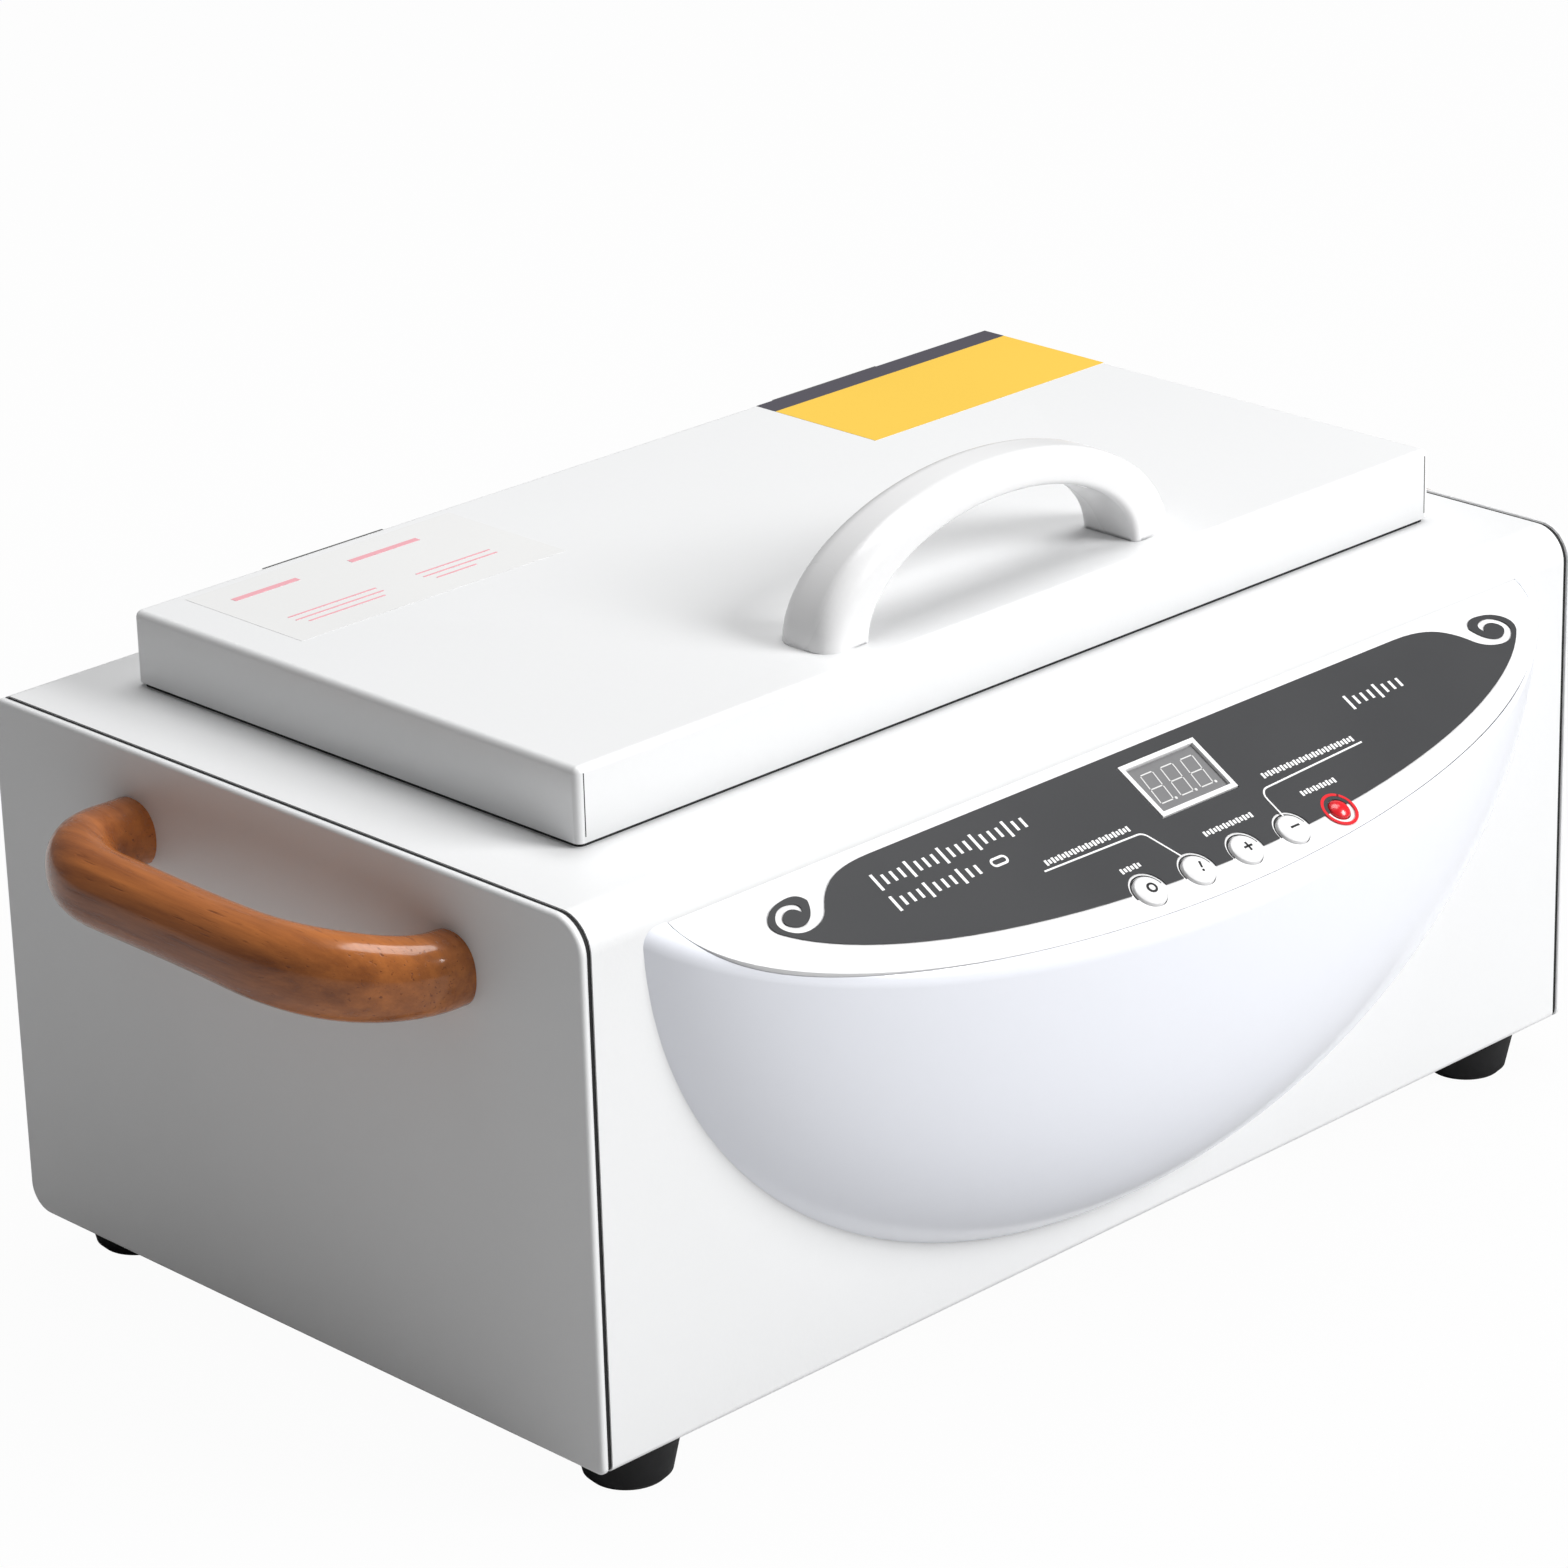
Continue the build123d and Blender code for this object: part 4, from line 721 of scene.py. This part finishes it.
# Print on the film, in millimetres: x to the right, y up the slope, from the line where slope and wall meet
LEFT_LEADER = [(-52.6, -27.4), (-19.0, -28.0), *arc_points(-19.0, -31.0, 3.0, 90, 30, 5)[1:], (-12.4, -38.4)]
RIGHT_LEADER = [(25.9, -39.6), (25.9, -33.3), *arc_points(29.0, -33.0, 3.1, 180, 95, 6)[1:], (68.1, -28.4)]
# Rows of ticks: from x, to x, y, height of the tall tick
CAPTION_ROWS = (
    (-50.0, -19.5, -25.4, 1.8),
    (-32.2, -25.7, -36.0, 1.7),
    (-0.3, 17.5, -35.4, 1.7),
    (31.0, 66.5, -26.4, 1.8),
    (37.2, 50.9, -35.6, 1.7),
)
CAPTION_LOW_TICK = 0.72
CAPTION_PITCH = 1.25
CAPTION_TICK_W = 0.8
# Rows of larger ticks: from x, to x, y, heights in turn
TITLE_ROWS = (
    (-98.5, -44.0, -12.2, (5.4, 3.2, 3.2, 3.2)),
    (-98.5, -68.0, -19.6, (5.0, 3.0, 3.0, 3.0)),
    (75.5, 97.5, -16.2, (5.0, 3.0, 3.0, 3.0)),
)
TITLE_PITCH = 2.9
TITLE_TICK_W = 0.95
PILL_LEFT, PILL_RIGHT, PILL_Y = -63.4, -60.4, -19.7
PILL_R = 1.1
PILL_LINE = 0.7 * MM


class STERILIZER_OT_print(bpy.types.Operator):
    """Prints the leader lines, rows of ticks and a rounded ring on the panel's film"""

    bl_idname = "sterilizer.print"
    bl_label = "Panel print"

    def execute(self, context):
        width = context.scene.sterilizer_panel.line
        film = panel_matrix(0, 0)
        white = bmesh.new()
        for leader in (LEFT_LEADER, RIGHT_LEADER):
            ribbon(white, film, [(x * MM, y * MM) for x, y in leader], width)
        for start, end, y, height in CAPTION_ROWS:
            heights = (height, CAPTION_LOW_TICK * height)
            tick_row(white, film, start, end, y, heights, CAPTION_PITCH, CAPTION_TICK_W)
        for start, end, y, heights in TITLE_ROWS:
            tick_row(white, film, start, end, y, heights, TITLE_PITCH, TITLE_TICK_W)
        pill = arc_points(PILL_RIGHT, PILL_Y, PILL_R, -90, 90, 8)
        pill += arc_points(PILL_LEFT, PILL_Y, PILL_R, 90, 270, 8)
        ribbon(white, film, [(x * MM, y * MM) for x, y in pill + pill[:1]], PILL_LINE)
        add_piece("panel_print", white, "print_white")
        return {"FINISHED"}


SHADOW_RING_R = 5.2 * MM
SHADOW_RING_W = 0.42 * MM
POWER_RING_R = 4.95 * MM
POWER_RING_W = 0.85 * MM
POWER_RING_T = 0.37 * MM
POWER_RING_RISE = 0.1 * MM
MARK_W = 0.62 * MM
MARK_T = 0.2 * MM
MARK_SINK = 0.16 * MM
# Strokes of the marks on the keys, in millimetres from the key's middle
KEY_MARKS = {
    "menu": [arc_points(0, 0, 1.25, 0, 360, 24)],
    "select": [[(0.9, 1.5), (0.1, -0.4)], [(0.0, -0.9), (-0.1, -1.5)]],
    "plus": [[(-1.4, 0), (1.4, 0)], [(0, -1.4), (0, 1.4)]],
    "minus": [[(-1.5, 0), (1.5, 0)]],
}


class STERILIZER_OT_keys(bpy.types.Operator):
    """Finishes the five keys, their printed marks and their rings"""

    bl_idname = "sterilizer.keys"
    bl_label = "Keys"

    def execute(self, context):
        for name in key_centres():
            finish = "power_red" if name == "power" else "panel_white"
            smooth_node(f"{name}_key", finish, 30.0)
        rings = bmesh.new()
        for name, (x, u) in key_centres().items():
            if name != "power":
                arc = arc_points(0, 0, SHADOW_RING_R, 10, 190, 28)
                ribbon(rings, panel_matrix(x, u, 0), arc, SHADOW_RING_W)
        add_piece("key_shadow_rings", rings, "print_black")
        x, u = key_centres()["power"]
        ring = bmesh.new()
        circle = arc_points(0, 0, POWER_RING_R, 0, 360, 48)
        ribbon(ring, panel_matrix(x, u, POWER_RING_RISE), circle, POWER_RING_W, POWER_RING_T)
        outward(ring)
        add_piece("power_key_ring", ring, "print_red")
        for name, strokes in KEY_MARKS.items():
            bm = bmesh.new()
            place = panel_matrix(*key_centres()[name], FILM_TOP + KEY_DOME - MARK_SINK)
            for stroke in strokes:
                ribbon(bm, place, [(x * MM, y * MM) for x, y in stroke], MARK_W, MARK_T)
            outward(bm)
            add_piece(f"{name}_key_mark", bm, "print_black", f"{name}_key")
        return {"FINISHED"}


WINDOW_AT = (6.8 * MM, 17.2 * MM)
WINDOW_DEPTH = 0.3 * MM
DIGIT_PITCH = 7.6 * MM
DIGIT_HALF_W = 2.3 * MM
DIGIT_HALF_H = 4.9 * MM
DIGIT_LINE = 0.35 * MM
DIGIT_LEAN = 0.12
POINT_R = 0.45 * MM
POINT_GAP = 1.0 * MM


class STERILIZER_OT_display(bpy.types.Operator):
    """Makes the window's three seven-segment digits"""

    bl_idname = "sterilizer.display"
    bl_label = "Display"

    def execute(self, context):
        coat_node("display_bezel", "panel_white")
        coat_node("display_module", "display_face")
        bm = bmesh.new()
        place = panel_matrix(*WINDOW_AT, -WINDOW_DEPTH)
        shift = DIGIT_LEAN * DIGIT_HALF_H
        for middle in (-DIGIT_PITCH, 0.0, DIGIT_PITCH):
            corners = {}
            for sx in (-1, 1):
                for sy in (-1, 0, 1):
                    corners[sx, sy] = (middle + sx * DIGIT_HALF_W + sy * shift, sy * DIGIT_HALF_H)
            strokes = [((-1, sy), (1, sy)) for sy in (-1, 0, 1)]
            strokes += [((sx, sy), (sx, sy + 1)) for sx in (-1, 1) for sy in (-1, 0)]
            for first, second in strokes:
                start, end = Vector(corners[first]), Vector(corners[second])
                gap = (end - start).normalized() * DIGIT_LINE * 0.7
                ribbon(bm, place, [tuple(start + gap), tuple(end - gap)], DIGIT_LINE)
            point = (middle + DIGIT_HALF_W + POINT_GAP - shift, -DIGIT_HALF_H)
            prism(bm, arc_points(*point, POINT_R, 0, 330, 11), place)
        add_piece("display_digits", bm, "segment")
        return {"FINISHED"}


SEAM_W = 0.3 * MM
SEAM_T = 0.06 * MM
SEAM_INSET = 2.3 * MM
SEAM_RISE = 1.6 * MM


class STERILIZER_OT_lid(bpy.types.Operator):
    """Coats the lid, its seal, liner, handle and hinges, and adds its corner seams"""

    bl_idname = "sterilizer.lid"
    bl_label = "Lid and handle"

    def execute(self, context):
        smooth_node("lid_cover", "white_coat", 40.0)
        smooth_node("lid_handle", "handle_white", 40.0)
        coat_node("lid_seal", "black_rubber")
        smooth_node("lid_liner", "drawn_steel", 35.0)
        coat_node("lid_insulation", "mineral_wool")
        for side in ("left", "right"):
            smooth_node(f"{side}_fixed_leaf", "stainless", 30.0)
            smooth_node(f"{side}_moving_leaf", "stainless", 30.0)
        for node in ("handle_screws", "hinge_pins", "fixed_leaf_screws", "moving_leaf_screws"):
            coat_node(node, "zinc_steel")
        seams = bmesh.new()
        height = LID_HIGH.z - LID_LOW.z - 2 * SEAM_RISE
        for x in (LID_LOW.x + SEAM_INSET, LID_HIGH.x - SEAM_INSET):
            for y in (LID_LOW.y, LID_HIGH.y):
                matrix = Matrix.Translation((x, y, (LID_LOW.z + LID_HIGH.z) / 2))
                matrix = matrix @ Matrix.Diagonal((SEAM_W, SEAM_T, height, 1))
                bmesh.ops.create_cube(seams, size=1, matrix=matrix)
        add_piece("lid_corner_seams", seams, "black_rubber", "lid")
        return {"FINISHED"}


# The grips, in millimetres: each end's place behind the front wall and its height over the case's bottom
GRIP_FRONT = (47.0, 122.5)
GRIP_BACK = (169.0, 125.0)
GRIP_REACH = 37.8
GRIP_HALF_T = 9.2
# How far each bend goes out and along
GRIP_FRONT_BEND = (26.0, 44.0)
GRIP_BACK_BEND = (20.0, 25.0)
# Half the section's height at shares of the grip's length
GRIP_HEIGHTS = ((0.0, 9.8), (0.2, 11.0), (0.5, 9.8), (0.84, 10.2), (1.0, 9.0))
GRIP_STATIONS = 56
GRIP_SIDES = 40
GRIP_SQUARENESS = 2.25


def grip_line():
    """The grip's middle line out of the wall, along and back: places across and along in millimetres."""
    reach = GRIP_REACH - GRIP_HALF_T
    front, back = GRIP_FRONT[0], GRIP_BACK[0]
    line = [(0.0, front)]
    for (out, along), end, first in ((GRIP_FRONT_BEND, front, -90), (GRIP_BACK_BEND, back, 0)):
        middle = end + along if first else end - along
        turn = arc_points(0, 0, 1, first, first + 90, 16)
        line += [(reach - out + x * out, middle + y * along) for x, y in turn]
    line += [(0.0, back)]
    return [Vector(point) for point in line]


def grip_station(line, share):
    """The point and direction on the line at a share of its length."""
    lengths = [(b - a).length for a, b in zip(line, line[1:])]
    left = share * sum(lengths)
    for (start, end), length in zip(zip(line, line[1:]), lengths):
        if left <= length or end is line[-1]:
            return start.lerp(end, min(left / length, 1.0)), (end - start).normalized()
        left -= length


def eased(stations, share):
    """A value that runs smoothly through the stations."""
    for (a, low), (b, high) in zip(stations, stations[1:]):
        if share <= b:
            part = (share - a) / (b - a)
            return low + (high - low) * part * part * (3 - 2 * part)
    return stations[-1][1]


def grip_ring(line, share):
    """The grip's section at a share of its length: a rounded form, a little squarer than an ellipse."""
    before, after = max(share - 0.012, 0.0), min(share + 0.012, 1.0)
    point = grip_station(line, share)[0]
    along = (grip_station(line, after)[0] - grip_station(line, before)[0]).normalized()
    if share in (0.0, 1.0):
        along = Vector((1 if share == 0 else -1, 0))
    across = Vector((along.y, -along.x))
    half_h = eased(GRIP_HEIGHTS, share)
    rise = GRIP_FRONT[1] + (GRIP_BACK[1] - GRIP_FRONT[1]) * share
    ring = []
    for i in range(GRIP_SIDES):
        angle = 2 * math.pi * i / GRIP_SIDES
        c, s = math.cos(angle), math.sin(angle)
        out = math.copysign(abs(c) ** (2 / GRIP_SQUARENESS), c) * GRIP_HALF_T
        up = math.copysign(abs(s) ** (2 / GRIP_SQUARENESS), s) * half_h
        place = point + across * out
        ring.append(Vector((place.x, place.y, rise + up)))
    return ring


def ring_next(vert, grown):
    """The vertex that an extrusion made from another."""
    fresh = {item for item in grown if isinstance(item, bmesh.types.BMVert)}
    return next(edge.other_vert(vert) for edge in vert.link_edges if edge.other_vert(vert) in fresh)


class STERILIZER_OT_grips(bpy.types.Operator):
    """Shapes the two bowed grips and gives them their lacquered wood"""

    bl_idname = "sterilizer.grips"
    bl_label = "Wooden grips"

    def execute(self, context):
        line = grip_line()
        for side, name in ((-1, "left_grip"), (1, "right_grip")):
            bm = bmesh.new()
            ring = bmesh.ops.create_circle(bm, segments=GRIP_SIDES, radius=1)["verts"]
            edges = list(bm.edges)
            wall = CASE_HIGH.x + END_OUT
            for i in range(GRIP_STATIONS + 1):
                if i:
                    grown = bmesh.ops.extrude_edge_only(bm, edges=edges)["geom"]
                    edges = [item for item in grown if isinstance(item, bmesh.types.BMEdge)]
                    edges = [edge for edge in edges if edge.is_boundary]
                    ring = [ring_next(vert, grown) for vert in ring]
                for vert, place in zip(ring, grip_ring(line, i / GRIP_STATIONS)):
                    x, y, z = (length * MM for length in place)
                    vert.co = Vector((side * (wall + x), CASE_LOW.y + y, CASE_LOW.z + z))
            bmesh.ops.holes_fill(bm, edges=bm.edges)
            outward(bm)
            finish = "lacquered_wood"
            add_piece(f"{name}_wood", bm, finish, sharp=50.0, replaces=(name,))
        return {"FINISHED"}


# The labels, in millimetres: x, place behind the front wall, width, depth
LABEL_FIELDS = (
    ("lid_label_field", "label_yellow", 117.25, 174.4, 94.5, 39.8),
    ("lid_label_band", "label_band", 117.25, 198.2, 94.5, 7.8),
    ("lid_label_film", "label_film", -96.0, 175.5, 92.0, 47.0),
)
LABEL_BARS = (
    (-123.0, 189.0, 22.0, 2.2),
    (-82.0, 189.0, 24.0, 2.2),
    (-118.0, 168.0, 30.0, 0.7),
    (-118.0, 165.0, 30.0, 0.7),
    (-118.0, 162.0, 26.0, 0.7),
    (-76.0, 168.0, 26.0, 0.7),
    (-76.0, 165.0, 26.0, 0.7),
    (-80.0, 162.0, 14.0, 0.7),
)
LABEL_RISE = 0.02 * MM


class STERILIZER_OT_labels(bpy.types.Operator):
    """Lays the two plain labels on the lid"""

    bl_idname = "sterilizer.labels"
    bl_label = "Lid labels"

    def execute(self, context):
        top = Matrix.Translation((0, CASE_LOW.y, LID_HIGH.z + LABEL_RISE))
        for name, finish, x, y, width, depth in LABEL_FIELDS:
            bm = bmesh.new()
            bar(bm, top, x * MM, y * MM, width * MM, depth * MM)
            add_piece(name, bm, finish, "lid")
        bm = bmesh.new()
        above = top @ Matrix.Translation((0, 0, 1.2 * PRINT_T))
        for x, y, width, depth in LABEL_BARS:
            bar(bm, above, x * MM, y * MM, width * MM, depth * MM)
        add_piece("lid_label_lines", bm, "label_pink", "lid")
        return {"FINISHED"}


class STERILIZER_OT_chamber(bpy.types.Operator):
    """Finishes the tank, its tray and what heats them"""

    bl_idname = "sterilizer.chamber"
    bl_label = "Tank and tray"

    def execute(self, context):
        smooth_node("chamber_tank", "drawn_steel", 35.0)
        smooth_node("instrument_tray", "stainless", 35.0)
        coat_node("chamber_gasket", "silicone")
        coat_node("temperature_probe", "zinc_steel")
        coat_node("heating_element", "heater_sheath")
        coat_node("heater_terminals", "ceramic_bush")
        coat_node("heater_clamps", "stainless")
        coat_node("thermal_cutout", "ceramic_bush")
        coat_node("insulation_blanket", "mineral_wool")
        coat_node("heat_shield", "zinc_steel")
        return {"FINISHED"}


class STERILIZER_OT_electrics(bpy.types.Operator):
    """Finishes the boards, what stands on them and the mains inlet"""

    bl_idname = "sterilizer.electrics"
    bl_label = "Boards and inlet"

    def execute(self, context):
        finishes = {
            "control_board": "board_green",
            "power_board": "board_green",
            "key_switches": "black_plastic",
            "heater_relay": "black_plastic",
            "power_inlet": "black_plastic",
            "transformer": "transformer_iron",
            "terminal_block": "terminal_plastic",
            "board_screws": "zinc_steel",
            "power_standoffs": "zinc_steel",
            "inlet_screws": "zinc_steel",
        }
        for node, finish in finishes.items():
            coat_node(node, finish)
        return {"FINISHED"}


KEY_LAMP_AT = (1.7, -3.1, 2.15)
KEY_LAMP_SIZE = 1.8
TOP_LAMP_AT = (0.4, 0.2, 2.6)
TOP_LAMP_SIZE = 1.6
TOP_LAMP_SHARE = 0.27
FLOOR_TONE = (0.58, 0.58, 0.58, 1)
FLOOR_WHITE = 0.965
FLOOR_HALF = 12
CAMERA_AHEAD = Vector((0.6458, 0.6676, -0.3704))
CAMERA_ROLL = math.radians(-1.61)
CAMERA_AT = Vector((-1.030, CASE_LOW.y - 0.942, CASE_LOW.z + 0.685))
CAMERA_SENSOR = 36
CAMERA_FAR = 50


class STERILIZER_OT_studio(bpy.types.Operator):
    """Sets the floor, the soft lamps, the world and the camera"""

    bl_idname = "sterilizer.studio"
    bl_label = "Studio"

    def execute(self, context):
        studio = context.scene.sterilizer_studio
        make_floor()
        make_world(studio.ambient)
        target = (CAD_BOX[0] + CAD_BOX[1]) / 2
        add_lamp("key_lamp", KEY_LAMP_AT, target, studio.key, KEY_LAMP_SIZE)
        add_lamp("top_lamp", TOP_LAMP_AT, target, studio.key * TOP_LAMP_SHARE, TOP_LAMP_SIZE)
        make_camera(studio.lens)
        context.scene.view_settings.view_transform = "Standard"
        return {"FINISHED"}


def add_lamp(name, place, target, power, size):
    """A large soft lamp that points at the object."""
    data = bpy.data.lights.new(name, "AREA")
    data.energy = power
    data.shape = "SQUARE"
    data.size = size
    lamp = bpy.data.objects.new(name, data)
    lamp.location = place
    lamp.rotation_euler = (target - Vector(place)).to_track_quat("-Z", "Y").to_euler()
    bpy.context.scene.collection.objects.link(lamp)


def make_floor():
    """A plain pale floor that shows near white but keeps the object's shadow."""
    bm = bmesh.new()
    bmesh.ops.create_grid(bm, x_segments=1, y_segments=1, size=FLOOR_HALF)
    mesh = bpy.data.meshes.new("floor")
    bm.to_mesh(mesh)
    bm.free()
    floor = bpy.data.objects.new("floor", mesh)
    material = bpy.data.materials.new("Pale floor")
    material.use_nodes = True
    material.node_tree.nodes.clear()
    tree = Tree(material.node_tree)
    pale = tree.add("ShaderNodeBsdfDiffuse", {"Color": FLOOR_TONE})
    white = tree.add("ShaderNodeEmission", {"Color": (1, 1, 1, 1), "Strength": 1.0})
    rays = tree.add("ShaderNodeLightPath").outputs
    seen = tree.maths("MAXIMUM", rays["Is Camera Ray"], rays["Is Transmission Ray"])
    share = tree.maths("MULTIPLY", seen, FLOOR_WHITE)
    mixed = tree.add("ShaderNodeMixShader", {0: share, 1: pale.outputs[0], 2: white.outputs[0]})
    tree.add("ShaderNodeOutputMaterial", {"Surface": mixed.outputs[0]})
    mesh.materials.append(material)
    bpy.context.scene.collection.objects.link(floor)


def make_world(ambient):
    """An even world that lights softly and shows white."""
    world = bpy.data.worlds.new("Studio")
    bpy.context.scene.world = world
    world.use_nodes = True
    world.node_tree.nodes.clear()
    tree = Tree(world.node_tree)
    soft = tree.add("ShaderNodeBackground", {"Color": (1, 1, 1, 1), "Strength": ambient})
    white = tree.add("ShaderNodeBackground", {"Color": (1, 1, 1, 1), "Strength": 1.0})
    rays = tree.add("ShaderNodeLightPath").outputs
    seen = tree.maths("MAXIMUM", rays["Is Camera Ray"], rays["Is Transmission Ray"])
    mixed = tree.add("ShaderNodeMixShader", {0: seen, 1: soft.outputs[0], 2: white.outputs[0]})
    tree.add("ShaderNodeOutputWorld", {"Surface": mixed.outputs[0]})


def make_camera(lens):
    """The camera at the photograph's viewing angle."""
    data = bpy.data.cameras.new("camera")
    data.lens = lens
    data.sensor_width = CAMERA_SENSOR
    data.clip_end = CAMERA_FAR
    camera = bpy.data.objects.new("camera", data)
    ahead = CAMERA_AHEAD.normalized()
    right = ahead.cross(Vector((0, 0, 1))).normalized()
    above = right.cross(ahead)
    turn = Matrix((right, above, -ahead)).transposed().to_4x4()
    roll = Matrix.Rotation(CAMERA_ROLL, 4, "Z")
    camera.matrix_world = Matrix.Translation(CAMERA_AT) @ turn @ roll
    bpy.context.scene.collection.objects.link(camera)
    bpy.context.scene.camera = camera


class STERILIZER_PT_looks(bpy.types.Panel):
    """Lists the sterilizer's settings and the steps that make it"""

    bl_label = "Sterilizer"
    bl_idname = "STERILIZER_PT_looks"
    bl_space_type = "VIEW_3D"
    bl_region_type = "UI"
    bl_category = "Sterilizer"

    def draw(self, context):
        for label, group in SETTINGS.items():
            box = self.layout.box()
            settings = getattr(context.scene, label)
            for name in group.__annotations__:
                box.prop(settings, name)
        for step in STEPS:
            self.layout.operator(step.bl_idname)


SETTINGS = {
    "sterilizer_coat": SterilizerCoat,
    "sterilizer_panel": SterilizerPanel,
    "sterilizer_wood": SterilizerWood,
    "sterilizer_studio": SterilizerStudio,
}
STEPS = (
    STERILIZER_OT_case,
    STERILIZER_OT_housing,
    STERILIZER_OT_print,
    STERILIZER_OT_keys,
    STERILIZER_OT_display,
    STERILIZER_OT_lid,
    STERILIZER_OT_grips,
    STERILIZER_OT_labels,
    STERILIZER_OT_chamber,
    STERILIZER_OT_electrics,
    STERILIZER_OT_studio,
)


def register():
    for group in SETTINGS.values():
        bpy.utils.register_class(group)
    for step in STEPS:
        bpy.utils.register_class(step)
    bpy.utils.register_class(STERILIZER_PT_looks)
    for label, group in SETTINGS.items():
        setattr(bpy.types.Scene, label, bpy.props.PointerProperty(type=group))


def unregister():
    for label in SETTINGS:
        delattr(bpy.types.Scene, label)
    bpy.utils.unregister_class(STERILIZER_PT_looks)
    for step in reversed(STEPS):
        bpy.utils.unregister_class(step)
    for group in reversed(SETTINGS.values()):
        bpy.utils.unregister_class(group)


def main():
    register()
    for step in STEPS:
        space, name = step.bl_idname.split(".")
        getattr(getattr(bpy.ops, space), name)()


if __name__ == "__main__":
    main()
